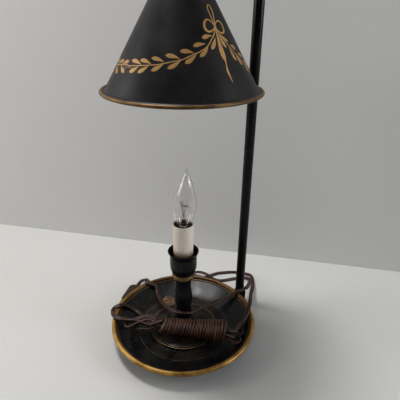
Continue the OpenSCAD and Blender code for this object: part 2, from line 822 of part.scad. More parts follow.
module cord_hank() {
    d = hank_b - hank_a;
    l = norm(d);
    outline = smooth([
        [5, -8], [8.2, -4], [9.9, 1], [10.2, l * 0.25], [10.9, l * 0.5],
        [12.2, l * 0.75], [13.6, l - 3], [12, l + 3], [6, l + 8]
    ], 4);
    color([0.3, 0.18, 0.13]) translate(hank_a)
        rotate([0, acos(d[2] / l), atan2(d[1], d[0])])
        lathe(concat([[0, -8]], outline, [[0, l + 8]]));
}

module at_plug() {
    translate(plug_rear) rotate([0, 0, plug_turn]) children();
}

module plug_body() {
    w = plug_w / 2;
    t = plug_t / 2;
    top = [
        [0.1, -cord_r - 2.5], [1.2, -w + 1.6], [4.5, -w], [plug_l - 4.6, -w],
        [plug_l - 4.2, -w + 1.2], [plug_l - 3, -w + 1.2], [plug_l - 2.6, -w],
        [plug_l, -w], [plug_l, w], [plug_l - 2.6, w],
        [plug_l - 3, w - 1.2], [plug_l - 4.2, w - 1.2], [plug_l - 4.6, w],
        [4.5, w], [1.2, w - 1.6], [0.1, cord_r + 2.5]
    ];
    flank = [
        [0.1, -cord_r - 1], [8, -t], [plug_l, -t], [plug_l, t],
        [8, t], [0.1, cord_r + 1]
    ];
    color([0.4, 0.28, 0.2]) at_plug() intersection() {
        linear_extrude(height = plug_t + 2, center = true) polygon(top);
        rotate([90, 0, 0])
            linear_extrude(height = plug_w + 2, center = true) polygon(flank);
    }
}

module plug_blades() {
    color([0.75, 0.68, 0.45]) at_plug() for (s = [-1, 1])
        translate([plug_l + run, s * blade_gap / 2, 0]) difference() {
            translate([0, -0.75, -3.15]) cube([blade_l, 1.5, 6.3]);
            translate([blade_l - 4, 0, 0]) rotate([90, 0, 0])
                cylinder(r = 1.5, h = 4, center = true);
        }
}

dish();
dish_rim();
base_ring();
felt_ring();
rod_strap();
strap_foot();
rod_screw();
nipple();
base_nut();
lock_washer();
stem();
gilt_collar();
candle_cup();
socket_bracket();
socket_body();
socket_screw();
screw_shell();
center_contact();
candle_cover();
bulb_base();
bulb_insulator();
bulb_contact();
bulb_glass();
bulb_mount();
bulb_wires();
bulb_filament();
supply_lead();
cord_bushing();
rod();
rod_finial();
collar_bush();
retaining_ring();
slide_collar();
arm();
thumb_screw();
shade();
shade_rim();
shade_cap();
shade_stud();
cap_nut();
eye_washer();
shade_finial();
cord_lamp_run();
cord_hank();
cord_plug_run();
plug_body();
plug_blades();
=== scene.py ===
import math
from functools import partial

import bmesh
import bpy
import numpy as np
from mathutils import Matrix, Vector


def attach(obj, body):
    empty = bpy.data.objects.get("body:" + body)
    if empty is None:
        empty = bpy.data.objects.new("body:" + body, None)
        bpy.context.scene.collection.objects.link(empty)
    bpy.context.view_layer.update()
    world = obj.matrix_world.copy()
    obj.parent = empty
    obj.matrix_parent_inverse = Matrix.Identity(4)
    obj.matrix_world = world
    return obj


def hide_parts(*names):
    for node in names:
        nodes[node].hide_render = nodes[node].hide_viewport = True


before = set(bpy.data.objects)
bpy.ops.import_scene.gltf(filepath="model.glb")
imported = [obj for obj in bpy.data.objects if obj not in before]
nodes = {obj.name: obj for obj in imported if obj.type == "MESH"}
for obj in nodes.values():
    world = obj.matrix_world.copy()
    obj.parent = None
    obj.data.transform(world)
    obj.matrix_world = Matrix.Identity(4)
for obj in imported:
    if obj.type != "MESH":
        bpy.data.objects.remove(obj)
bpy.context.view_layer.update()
scene = bpy.context.scene
mm = 0.001


def addObject(name, data):
    thing = bpy.data.objects.new(name, data)
    scene.collection.objects.link(thing)
    return thing


# camera: place and middle of the picture, angles in degrees, focal length in pixels
viewer = {
    "place": (0, -0.3784, 0.3607), "pitch": 25.65, "yaw": 2.826, "roll": 0.907, "focal": 401.1,
    "middle": (200.9, 200.3), "picture": 400, "sensor": 36,
}


def makeCamera(v):
    data = bpy.data.cameras.new("camera")
    data.sensor_fit = "HORIZONTAL"
    data.sensor_width = v["sensor"]
    data.lens = v["sensor"] * v["focal"] / v["picture"]
    data.shift_x = (v["picture"] / 2 - v["middle"][0]) / v["picture"]
    data.shift_y = (v["middle"][1] - v["picture"] / 2) / v["picture"]
    data.clip_start, data.clip_end = 0.02, 50
    place = Matrix.Translation(v["place"])
    for axis, angle in (("Z", -v["yaw"]), ("X", 90 - v["pitch"]), ("Z", v["roll"])):
        place = place @ Matrix.Rotation(math.radians(angle), 4, axis)
    scene.camera = addObject("camera", data)
    scene.camera.matrix_world = place


makeCamera(viewer)
print("camera set")


# surfaces worked out as whole arrays


def unitRows(v):
    return v / np.maximum(np.linalg.norm(v, axis=-1, keepdims=True), 1e-12)


def roundAngles(steps):
    return np.linspace(0, 2 * np.pi, steps, endpoint=False)


# between two points the curve is the cubic whose slopes come from the points next to them
def smoothLine(points, steps):
    p = np.asarray(points, float)
    p = np.vstack([2 * p[:1] - p[1:2], p, 2 * p[-1:] - p[-2:-1]])
    t = np.linspace(0, 1, steps, endpoint=False)[None, :, None]
    a, b, c, d = p[:-3, None], p[1:-2, None], p[2:-1, None], p[3:, None]
    q = 0.5 * (2 * b + (c - a) * t + (2 * a - 5 * b + 4 * c - d) * t**2)
    q = q + 0.5 * (3 * b - a - 3 * c + d) * t**3
    return np.vstack([q.reshape(-1, p.shape[1]), p[-2:-1]])


# knots [radius, height] joined by half waves: the radius eases over as (1 - cos) / 2
def turnedLine(knots, steps):
    k = np.asarray(knots, float)
    t = np.linspace(0, 1, steps, endpoint=False)
    r = k[:-1, :1] + (k[1:, :1] - k[:-1, :1]) * (1 - np.cos(np.pi * t)) / 2
    h = k[:-1, 1:] + (k[1:, 1:] - k[:-1, 1:]) * t
    return np.vstack([np.stack([r.ravel(), h.ravel()], 1), k[-1:]])


# an outline moved to its right by gap, with mitred corners
def besideLine(line, gap):
    d = unitRows(np.diff(np.asarray(line, float), axis=0))
    n = np.stack([d[:, 1], -d[:, 0]], 1)
    a, b = np.vstack([n[:1], n]), np.vstack([n, n[-1:]])
    return line + gap * (a + b) / (1 + (a * b).sum(1, keepdims=True))


# arc of radius r round (x, y) from angle a to angle b, in degrees
def arcLine(x, y, r, a, b, steps):
    t = np.radians(np.linspace(a, b, steps))
    return np.stack([x + r * np.cos(t), y + r * np.sin(t)], 1)


def quadMesh(points, quads):
    mesh = bpy.data.meshes.new("surface")
    mesh.vertices.add(len(points))
    mesh.vertices.foreach_set("co", points.astype(np.float32).ravel())
    mesh.loops.add(quads.size)
    mesh.loops.foreach_set("vertex_index", quads.astype(np.int32).ravel())
    mesh.polygons.add(len(quads))
    mesh.polygons.foreach_set("loop_start", np.arange(0, quads.size, 4, dtype=np.int32))
    mesh.update(calc_edges=True)
    return mesh


# each entry of a grid with its three neighbours, in order round a face
def fours(grid, axis):
    return np.stack([grid[:-1, :-1], grid[:-1, 1:], grid[1:, 1:], grid[1:, :-1]], axis)


# grid[i, j] is the surface at parameters i and j, and each four neighbours make a face;
# seams and poles are merged, faces point out, and corners over the angle stay sharp
def gridMesh(grid, loop=False, angle=38):
    rows, cols = grid.shape[:2]
    index = np.arange(rows * cols).reshape(rows, cols)
    if loop:
        index = np.vstack([index, index[:1]])
    index = np.hstack([index, index[:, :1]])
    mesh = quadMesh(grid.reshape(-1, 3), fours(index, -1).reshape(-1, 4))
    u, v = np.meshgrid(np.linspace(0, 1, index.shape[1]), np.linspace(0, 1, index.shape[0]))
    corners = fours(np.stack([u, v], -1), 2)
    layer = mesh.uv_layers.new(name="surface")
    layer.data.foreach_set("uv", corners.astype(np.float32).ravel())
    shell = bmesh.new()
    shell.from_mesh(mesh)
    bmesh.ops.remove_doubles(shell, verts=shell.verts, dist=2e-7)
    bmesh.ops.dissolve_degenerate(shell, edges=shell.edges, dist=1e-8)
    bmesh.ops.recalc_face_normals(shell, faces=shell.faces)
    shell.to_mesh(mesh)
    shell.free()
    mesh.shade_smooth()
    mesh.set_sharp_from_angle(angle=math.radians(angle))
    mesh.update()
    return mesh


# several grids in one mesh
def joinMeshes(meshes):
    shell = bmesh.new()
    for m in meshes:
        shell.from_mesh(m)
    joined = bpy.data.meshes.new("joined")
    shell.to_mesh(joined)
    shell.free()
    for m in meshes:
        bpy.data.meshes.remove(m)
    return joined


def addPiece(name, mesh, body, finish, *stands):
    mesh.name = name
    piece = addObject(name, mesh)
    mesh.materials.clear()
    mesh.materials.append(finish[1])
    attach(piece, body)
    if stands:
        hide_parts(*stands)
    return piece


# a piece that takes the place of the CAD node of its own name
def standIn(name, mesh, body, finish):
    addPiece(name, mesh, body, finish, name)


# outline [radius, height] turned about an upright axis: x = r cos a, y = r sin a
def latheGrid(outline, steps, axis=(0, 0)):
    o = np.asarray(outline, float) * mm
    a = roundAngles(steps)
    x, y = o[:, :1] * np.cos(a), o[:, :1] * np.sin(a)
    z = np.repeat(o[:, 1:], steps, 1)
    return np.stack([x + axis[0] * mm, y + axis[1] * mm, z], -1)


# a turned piece
def lathePiece(name, outline, steps, body, finish, axis=(0, 0), loop=True, move=None):
    grid = latheGrid(outline, steps, axis)
    standIn(name, gridMesh(grid if move is None else move(grid), loop), body, finish)


# the two ways square to a line: side, and out, which leans to the way that flat points
def waysOff(line, flat):
    t = unitRows(np.gradient(line, axis=0))
    side = unitRows(np.cross(t, flat))
    return side[:, None], np.cross(side, t)[:, None]


# section [across, out] carried along the line
def sweepGrid(line, flat, section):
    side, out = waysOff(line, flat)
    grid = line[:, None] + side * section[None, :, :1] + out * section[None, :, 1:]
    ends = np.repeat(line[[0, -1], None], len(section), 1)
    return np.concatenate([ends[:1], grid, ends[1:]])


def tubeMesh(line, r, steps):
    flat = np.cross(unitRows(np.gradient(line, axis=0)), [0.31, 0.24, 0.92])
    a = roundAngles(steps)
    return gridMesh(sweepGrid(line, flat, r * np.stack([np.cos(a), np.sin(a)], 1)), angle=60)


# finishes: each helper adds its nodes to the tree that is being wired

wiring = {}


# screen values from 0 to 255 as linear light
def paint(r, g, b):
    c = np.array([r, g, b]) / 255
    return tuple(np.where(c < 0.04045, c / 12.92, ((c + 0.055) / 1.055) ** 2.4).tolist())


def feed(socket, value):
    if isinstance(value, bpy.types.NodeSocket):
        wiring["tree"].links.new(value, socket)
    elif isinstance(value, (int, float)):
        socket.default_value = value
    else:
        socket.default_value = (*value, 1) if socket.type == "RGBA" else value


def feedAll(node, values):
    for key, value in values.items():
        feed(node.inputs[key], value)


def newNode(kind, *values, **named):
    node = wiring["tree"].nodes.new("ShaderNode" + kind)
    for socket, value in zip(node.inputs, values):
        feed(socket, value)
    feedAll(node, named)
    return node


def mathNode(kind, *values, clamp=False):
    node = newNode("Math", *values)
    node.operation = kind
    node.use_clamp = clamp
    return node.outputs[0]


times, plus, minus, larger = (
    partial(mathNode, kind) for kind in ("MULTIPLY", "ADD", "SUBTRACT", "MAXIMUM")
)


def apart(a, b):
    return mathNode("ABSOLUTE", minus(a, b))


def mix(share, first, second):
    node = newNode("Mix")
    node.data_type = "RGBA"
    feedAll(node, {0: share, 6: first, 7: second})
    return node.outputs[2]


# colours of a look laid over one another, each where its mask is
def overlay(colour, look, **masks):
    for tone, share in masks.items():
        colour = mix(share, colour, paint(*look[tone]))
    return colour


def ramp(value, low, high, newLow=0, newHigh=1):
    return newNode("MapRange", value, low, high, newLow, newHigh).outputs[0]


def noise(where, scale, detail=3, rough=0.5):
    node = newNode("TexNoise", Vector=where, Scale=scale, Detail=detail, Roughness=rough)
    return node.outputs[0]


def mapped(where, place=(0, 0, 0), turn=(0, 0, 0), scale=(1, 1, 1)):
    return newNode("Mapping", where, place, turn, scale).outputs[0]


def objectPlace():
    return newNode("TexCoord").outputs["Object"]


def axes(vector):
    return newNode("SeparateXYZ", vector).outputs


# how far a place is from an upright axis, and a soft band between two of these distances
def axisDistance(place=(0, 0, 0)):
    far = newNode("VectorMath", mapped(objectPlace(), place=place, scale=(1, 1, 0)))
    far.operation = "LENGTH"
    return far.outputs["Value"]


def softBand(far, inner, outer, soft):
    rise = ramp(far, inner - soft, inner + soft)
    return times(rise, ramp(far, outer - soft, outer + soft, 1, 0))


# a shared effect: named number inputs, one mask out, and a function that wires it
def makeGroup(name, build, **inputs):
    tree = wiring["tree"] = bpy.data.node_groups.new(name, "ShaderNodeTree")
    number = "NodeSocketFloat"
    for key, value in inputs.items():
        socket = tree.interface.new_socket(key, in_out="INPUT", socket_type=number)
        socket.default_value = value
    tree.interface.new_socket("Mask", in_out="OUTPUT", socket_type=number)
    given = tree.nodes.new("NodeGroupInput").outputs
    feed(tree.nodes.new("NodeGroupOutput").inputs["Mask"], build(given))
    return tree


def mask(group, **values):
    node = newNode("Group")
    node.node_tree = group
    feedAll(node, values)
    return node.outputs["Mask"]


def softMottle(given):
    return ramp(noise(objectPlace(), given["Scale"], 4, 0.55), 0.36, 0.64)


# a thin film and scattered specks on what faces up
def settledDust(given):
    where = objectPlace()
    upward = ramp(axes(newNode("NewGeometry").outputs["Normal"])[2], 0.1, 0.85)
    film = times(ramp(noise(where, 55, 4, 0.6), 0.35, 0.7), given["Film"])
    cells = newNode("TexVoronoi", Vector=where, Scale=given["Grain"]).outputs
    near = ramp(cells["Distance"], 0.1, 0.22, 1, 0)
    pick = newNode("SeparateColor", cells["Color"]).outputs[0]
    specks = times(near, mathNode("LESS_THAN", pick, given["Specks"]))
    return times(larger(film, specks), upward, clamp=True)


def handWear(given):
    where = objectPlace()
    broad = noise(where, given["Scale"], 5, 0.65)
    fine = noise(where, times(given["Scale"], 6), 3, 0.6)
    edge = minus(0.74, times(given["Amount"], 0.4))
    return ramp(plus(times(broad, 0.7), times(fine, 0.3)), edge, plus(edge, 0.06))


# borders of cells drawn out three ways, broken by noise
def fineScratches(given):
    where = objectPlace()
    lines = []
    for turn, stretch in ((0.5, (1, 17, 1)), (2.1, (1, 23, 1)), (1.2, (21, 1, 1))):
        place = mapped(where, turn=(0.2, 0.1, turn), scale=stretch)
        cells = newNode("TexVoronoi", Vector=place, Scale=given["Scale"])
        cells.feature = "DISTANCE_TO_EDGE"
        lines.append(ramp(cells.outputs["Distance"], 0, 0.012, 1, 0))
    broken = ramp(noise(where, 190, 2), 0.5, 0.62)
    return times(times(larger(larger(lines[0], lines[1]), lines[2]), broken), given["Amount"])


# a brushed ring round the upright axis, thinned and broken by wear
def paintedRing(given):
    where = objectPlace()
    wobble = times(noise(where, 90), given["Width"])
    half = plus(times(given["Width"], 0.1), times(wobble, 0.9))
    line = ramp(minus(apart(axisDistance(), given["Radius"]), half), -0.00012, 0.00012, 1, 0)
    rubbed = ramp(noise(where, 260, 4, 0.7), 0.3, 0.62, 1, 0)
    return times(line, minus(1, times(rubbed, given["Wear"])), clamp=True)


mottleGroup = makeGroup("soft mottle", softMottle, Scale=60)
dustGroup = makeGroup("settled dust", settledDust, Grain=500, Specks=0.1, Film=0.2)
wearGroup = makeGroup("hand wear", handWear, Scale=90, Amount=0.3)
scratchGroup = makeGroup("fine scratches", fineScratches, Scale=20, Amount=0.5)
ringGroup = makeGroup("painted ring", paintedRing, Radius=0.04, Width=0.001, Wear=0.5)


def newMaterial(name):
    material = bpy.data.materials.new(name)
    material.use_nodes = True
    wiring["tree"] = material.node_tree
    return material, material.node_tree.nodes["Principled BSDF"]


# the shader's inputs, with a bump whose height and strength are given
def setShader(shader, colour, rough, height, strength, others=()):
    bump = newNode("Bump", Distance=0.0002, Strength=strength, Height=height).outputs[0]
    feedAll(shader, {"Base Color": colour, "Roughness": rough, "Normal": bump, **dict(others)})


plainLook = {
    "dark": (15, 15, 17), "light": (22, 21, 22), "worn": (60, 46, 34), "dust": (120, 112, 100),
    "mottle": 45, "wearScale": 110, "wear": 0.1, "grain": 420, "specks": 0.05, "film": 0.12,
    "rough": (0.26, 0.38), "metal": 0, "coat": 0, "coatRough": 0.16, "bumpScale": 900,
    "bump": 0.12, "scratch": 0.3, "scratchScale": 22, "gloss": 0.22,
}


# a finish with mottled colour, wear, scratches and dust; rings are painted lines
# [radius, width, wear], and extra changes the colour and roughness before the wear
def layeredFinish(name, slot, look, rings=(), extra=None):
    look = {**plainLook, **look}
    material, shader = newMaterial(name)
    mottle = mask(mottleGroup, Scale=look["mottle"])
    wear = mask(wearGroup, Scale=look["wearScale"], Amount=look["wear"])
    fallen = mask(dustGroup, Grain=look["grain"], Specks=look["specks"], Film=look["film"])
    scratch = mask(scratchGroup, Scale=look["scratchScale"], Amount=look["scratch"])
    colour = overlay(paint(*look["dark"]), look, light=mottle)
    rough = ramp(mottle, 0, 1, *look["rough"])
    metal = 0
    if rings:
        lines = [mask(ringGroup, Radius=r, Width=w, Wear=rubbed) for r, w, rubbed in rings]
        line = lines[0]
        for more in lines[1:]:
            line = larger(line, more)
        colour = overlay(colour, look, ring=line)
        metal = times(line, 0.55)
        rough = plus(rough, times(line, 0.12))
    if extra is not None:
        colour, rough = extra(colour, rough)
    colour = overlay(colour, look, worn=wear, dust=times(scratch, 0.5))
    colour = overlay(colour, look, dust=times(fallen, 0.75))
    rough = plus(plus(rough, times(wear, 0.2)), times(fallen, 0.35), clamp=True)
    if look["metal"] > 0:
        metal = times(minus(1, times(larger(wear, fallen), 0.6)), look["metal"])
    height = noise(objectPlace(), look["bumpScale"])
    height = minus(height, times(larger(wear, scratch), 0.8))
    others = {"Metallic": metal, "Specular IOR Level": look["gloss"]}
    others.update({"Coat Weight": look["coat"], "Coat Roughness": look["coatRough"]})
    setShader(shader, colour, rough, height, look["bump"], others)
    return slot, material


# inside the dish: a dusty floor, a rubbed dome, a line along the floor's edge and a place gone
# to the copper-coloured ground; bands are [inner radius, outer radius, softness]
dishLook = {
    "dark": (8, 8, 12), "light": (13, 13, 16), "dust": (140, 132, 116), "ring": (152, 126, 80),
    "rough": (0.26, 0.36), "specks": 0.1, "film": 0.05, "wear": 0.05, "scratch": 0.45,
    "gloss": 0.28, "rings": [(0.0394, 0.0006, 0.3), (0.0368, 0.0003, 0.7)],
    "floorDust": (74, 66, 52), "floorBand": (0.0405, 0.0535, 0.0008), "domeRub": (70, 58, 42),
    "domeBand": (0.013, 0.034, 0.004), "line": (128, 120, 104),
    "lineBand": (0.0537, 0.0543, 0.0002), "copper": ((62, 36, 20), (124, 94, 68)),
    "copperPlace": (0.0198, -0.0465, 0), "copperRadius": 0.0088,
}


def dishInside(colour, rough):
    look, where, far = dishLook, objectPlace(), axisDistance()
    streaks = noise(where, 320, 5, 0.65)
    clouds = noise(where, 70, 4, 0.6)
    spread = times(ramp(clouds, 0.38, 0.62, 0.25, 1), ramp(streaks, 0.4, 0.65, 0.25, 1))
    floor = times(softBand(far, *look["floorBand"]), times(spread, 0.3))
    dome = times(softBand(far, *look["domeBand"]), times(spread, 0.6))
    line = times(softBand(far, *look["lineBand"]), ramp(streaks, 0.42, 0.56, 0, 0.6))
    colour = overlay(colour, look, floorDust=floor, domeRub=dome, line=line)
    rough = plus(rough, times(larger(floor, dome), 0.35))
    ragged = times(minus(noise(where, 150, 4), 0.5), 0.009)
    edge = plus(axisDistance(look["copperPlace"]), ragged)
    bare = ramp(edge, look["copperRadius"] - 0.001, look["copperRadius"] + 0.001, 0.9, 0)
    patch = mix(ramp(noise(where, 260), 0.42, 0.58), *(paint(*tone) for tone in look["copper"]))
    return mix(bare, colour, patch), rough


dishPaint = layeredFinish(
    "dish lacquer", "black_tole", dishLook, rings=dishLook["rings"], extra=dishInside
)
shadeLook = {
    "dark": (25, 23, 25), "light": (35, 32, 33), "rough": (0.38, 0.47), "specks": 0.02,
    "film": 0.05, "wear": 0.03, "scratch": 0.1, "bumpScale": 500,
}
shadePaint = layeredFinish("shade lacquer", "black_tole", shadeLook)
stemLook = {
    "dark": (11, 12, 17), "light": (18, 19, 25), "rough": (0.24, 0.36), "coat": 0.1,
    "specks": 0.08,
}
stemPaint = layeredFinish("stem lacquer", "black_tole", stemLook)
rodLook = {"rough": (0.22, 0.32), "film": 0.1, "wear": 0.05}
rodPaint = layeredFinish("rod lacquer", "black_tole", rodLook)

# the dish's bead is browner towards the back; painted shade darkens it to brown along its
# underside and inner side, painted shade darkens the groove and hem inside it, and a dull seam
# runs there; heights and radii in metres
goldLook = {
    "dark": (126, 95, 48), "light": (180, 144, 82), "worn": (66, 48, 30), "dust": (150, 134, 108),
    "metal": 0.5, "rough": (0.34, 0.48), "wear": 0.12, "mottle": 60, "wearScale": 160,
    "bumpScale": 500,
}
rimLook = {
    "rubbed": (70, 54, 40), "brown": (74, 48, 28), "underShadeHeights": (0.0186, 0.0197),
    "innerShadeRadii": (0.0816, 0.0829), "groove": (44, 32, 24), "grooveShadeEdge": (0.0802, 0.0806),
    "seam": (98, 82, 66), "seamBand": (0.0785, 0.0792, 0.0002),
}


def rimEdge(colour, rough):
    look, where, far = rimLook, objectPlace(), axisDistance()
    # browner towards the back
    back = plus(axes(where)[1], times(noise(where, 30), 0.02))
    # painted shade: brown along the bead's underside and inner side, where it turns from the
    # light
    low = ramp(axes(where)[2], *look["underShadeHeights"], 0.7, 0)
    edges = larger(low, ramp(far, *look["innerShadeRadii"], 0.6, 0))
    broken = ramp(noise(where, 140), 0.3, 0.6, 0.5, 1)
    colour = overlay(colour, look, rubbed=ramp(back, 0, 0.08, 0, 0.72), brown=edges)
    # painted shade: the groove and hem under the bead's inner side, inside this radius, are dark
    groove = ramp(far, *look["grooveShadeEdge"], 1, 0)
    seam = times(softBand(far, *look["seamBand"]), broken)
    return overlay(colour, look, groove=groove, seam=seam), rough


rimPaint = layeredFinish("rim gilding", "gilt", goldLook, extra=rimEdge)
dullGold = {**goldLook, "dark": (82, 62, 38), "light": (124, 98, 66)}
shadeRimPaint = layeredFinish("shade rim gilding", "gilt", dullGold)

# metals, mouldings and cloth: name, slot, dark, light, and what differs from the plain look


def simpleFinish(name, slot, dark, light, **look):
    return layeredFinish(name, slot, {"dark": dark, "light": light, **look})


brassMetal = simpleFinish(
    "brass", "brass", (134, 104, 56), (168, 136, 82), worn=(84, 62, 34), metal=0.9,
    rough=(0.3, 0.45), wear=0.15, mottle=120
)
# dark brown: tarnish, and painted shade for the screw shell and bulb base down in the socket
shadedAgedBrass = simpleFinish(
    "aged brass", "brass", (46, 30, 21), (72, 48, 32), worn=(40, 28, 20), metal=0.5,
    rough=(0.5, 0.66), wear=0.2
)
ironPaint = simpleFinish(
    "cast iron", "cast_iron", (34, 32, 31), (52, 48, 45), worn=(86, 56, 38), rough=(0.55, 0.75),
    bumpScale=600, bump=0.5, metal=0.4
)
feltCloth = simpleFinish(
    "green felt", "felt", (24, 50, 34), (40, 72, 50), worn=(60, 76, 60), rough=(0.9, 1),
    mottle=700, bumpScale=1600, bump=0.8, scratch=0
)
zincMetal = simpleFinish(
    "zinc plate", "zinc_steel", (140, 140, 136), (178, 178, 172), worn=(96, 90, 80), metal=0.9,
    rough=(0.3, 0.5)
)
brownMould = simpleFinish(
    "moulded phenolic", "bakelite", (44, 32, 26), (60, 44, 34), rough=(0.35, 0.5)
)
blackRubber = simpleFinish(
    "black rubber", "black_rubber", (24, 23, 23), (36, 34, 33), rough=(0.6, 0.75), bump=0.3
)
greyWire = simpleFinish(
    "nickel wire", "wire_grey", (96, 92, 88), (134, 128, 122), metal=0.8, rough=(0.3, 0.5),
    dust=(110, 104, 98)
)
solderMetal = simpleFinish(
    "solder", "solder", (150, 150, 148), (190, 190, 188), metal=0.9, rough=(0.3, 0.5)
)
plugMould = simpleFinish(
    "plug phenolic", "brown_plug", (30, 19, 13), (58, 36, 23), worn=(128, 78, 42), wear=0.34,
    rough=(0.4, 0.55), film=0.1, specks=0.08
)

# candle paper: cream, a little glossy, with a brown tide mark at its foot
candleLook = {
    "colour": (220, 210, 195), "shadow": (200, 187, 168), "dirt": (120, 92, 64),
    "foot": 0.1168, "rough": (0.34, 0.5),
    "inside": {
        "Subsurface Weight": 0.08,
        "Subsurface Radius": (0.004, 0.003, 0.002),
        "Subsurface Scale": 1,
    },
}


def candleFinish(c):
    material, shader = newMaterial("candle paper")
    where = objectPlace()
    streaks = noise(mapped(where, scale=(1, 1, 0.15)), 70, 4, 0.6)
    height = plus(axes(where)[2], times(noise(where, 160, 4), 0.006))
    foot = ramp(height, c["foot"] + 0.001, c["foot"] + 0.008, 0.85, 0)
    spots = ramp(noise(where, 420, 2), 0.66, 0.72, 0, 0.5)
    colour = overlay(paint(*c["colour"]), c, shadow=ramp(streaks, 0.4, 0.7, 0, 0.6))
    colour = overlay(colour, c, dirt=larger(foot, spots))
    rough = ramp(streaks, 0.3, 0.7, *c["rough"])
    setShader(shader, colour, rough, noise(where, 900, 2), 0.08, c["inside"])
    return "candle_cream", material


clearTint = (0.975, 0.965, 0.96)


def glassFinish(name, tint, rough):
    material, shader = newMaterial(name)
    haze = mask(mottleGroup, Scale=140)
    colour, rough = mix(haze, clearTint, tint), ramp(haze, 0, 1, 0, rough)
    feedAll(shader, {"Base Color": colour, "Roughness": rough})
    feedAll(shader, {"Transmission Weight": 1, "IOR": 1.46})
    return "clear_glass", material


# two moulded cores side by side, with painted shade along the groove between them and painted
# shade darkening the cord where it is loose, with rubbed and grey places; woundAt and woundHalf
# are shares of the cord's length
cordLook = {
    "dark": (56, 33, 24), "light": (97, 59, 41), "groove": (18, 10, 7), "rubbed": (116, 80, 60),
    "loose": (32, 16, 12), "looseShare": 0.6, "woundAt": 0.587, "woundHalf": 0.19,
    "rough": (0.38, 0.58),
}


def cordFinish(c):
    material, shader = newMaterial("brown cord")
    place = axes(newNode("TexCoord").outputs["UV"])
    # painted shade: the groove between the two cores is darkened
    groove = ramp(apart(mathNode("FRACT", times(place[0], 2)), 0.5), 0.02, 0.13, 0.9, 0)
    mottle = mask(mottleGroup, Scale=180)
    wear = mask(wearGroup, Scale=240, Amount=0.35)
    dust = mask(dustGroup, Grain=700, Specks=0.05, Film=0.07)
    half = c["woundHalf"]
    # painted shade: the cord away from the hank is darker
    loose = ramp(apart(place[1], c["woundAt"]), half - 0.004, half + 0.004, 0, c["looseShare"])
    colour = overlay(paint(*c["dark"]), c, light=mottle, rubbed=times(wear, 0.5))
    colour = overlay(colour, c, rubbed=times(dust, 0.5), groove=groove, loose=loose)
    rough = ramp(mottle, 0, 1, *c["rough"])
    setShader(shader, colour, rough, noise(objectPlace(), 1400), 0.25)
    return "brown_cord", material


# brushed-on gold: the attribute runs from 0 at a stroke's edge to 1 along its middle
strokeLook = {
    "edge": (62, 44, 28), "dark": (134, 100, 54), "light": (196, 158, 100), "metal": 0.35,
    "rough": (0.38, 0.55),
}


def strokeFinish(c):
    material, shader = newMaterial("painted gold strokes")
    read = newNode("Attribute")
    read.attribute_name = "shade"
    bristles = noise(objectPlace(), 700, 4, 0.7)
    level = plus(read.outputs["Fac"], times(minus(bristles, 0.5), 0.5))
    inner = ramp(level, 0.1, 0.42)
    tone = overlay(paint(*c["dark"]), c, light=bristles)
    colour = mix(inner, paint(*c["edge"]), tone)
    metal = {"Metallic": times(inner, c["metal"])}
    setShader(shader, colour, ramp(bristles, 0.3, 0.7, *c["rough"]), bristles, 0.3, metal)
    return "gilt", material


candlePaper = candleFinish(candleLook)
bulbGlass = glassFinish("bulb glass", (0.945, 0.925, 0.915), 0.02)
mountGlass = glassFinish("mount glass", (0.7, 0.52, 0.47), 0.3)
brownCord = cordFinish(cordLook)
goldStrokes = strokeFinish(strokeLook)
print("finishes made")


# cord: route from the base to the hank, folds, turns, and on to the plug; sizes in metres,
# routes and turns in millimetres, angles in degrees. core is where the straight runs have
# their rows; curl, past the right end, and leave are rows before and after the turns. The
# turns lean more and more, and stray along the hank in waves [height, rate, phase]. sink is
# [drop, height where it begins, over how much]; roll is [height where it begins, over how
# much, rate]

cordSize = {
    "width": 0.005, "thickness": 0.0027, "turns": 22.4, "perTurn": 10, "start": 230,
    "ends": (0.6, 0.2), "lean": (0.35, 2, 1.5), "stray": [(0.22, 5.1, 0), (0.16, 1.9, 1)],
    "inset": 2.6, "swell": (0.22, 2.3), "oval": 0.2, "tilt": 42, "step": 0.0018, "bend": 0.0045,
    "rounds": 200, "sides": 20, "groove": 0.6, "sink": (0.00105, 0.005, 0.0023),
    "roll": (0.0022, 0.006, 0.9), "core": (-3, 14, 37, 60, 76.5),
    "curl": [(5.5, 4.5, -5.6), (5.2, 6.8, -7.2)], "leave": [(-5, -1.5, 5.2), (-10.5, -2.2, 2.6)],
}
hankEnds = np.array([[-27, -20.7, 28.6], [46, -28, 24.6]]) * mm
hankRadius = [
    (-8, 5), (-4, 8.2), (1, 9.9), (18.4, 10.2), (36.7, 10.9), (55.1, 12.2), (70.5, 13.6),
    (76.5, 12), (81.5, 6),
]
lampRun = [
    (-6.8, 55.2, 3.1), (-7.4, 62, 3.1), (-4, 74, 2.7), (6, 87, 2.4), (20, 98, 2.4),
    (46, 113.5, 2.4), (60, 117, 2.4), (76, 118, 2.4), (91, 114, 2.6), (98.5, 106, 4.5),
    (99.5, 92, 8), (96, 68, 13), (90, 47, 18), (85, 25, 24.8), (80.2, 8, 25.5), (76, 0, 21.5),
    (71.5, -6, 19.5), (67.3, -12.5, 19.8), (63.8, -19.5, 22), (60.2, -25.2, 24.2),
    (56.5, -28.7, 25.4),
]
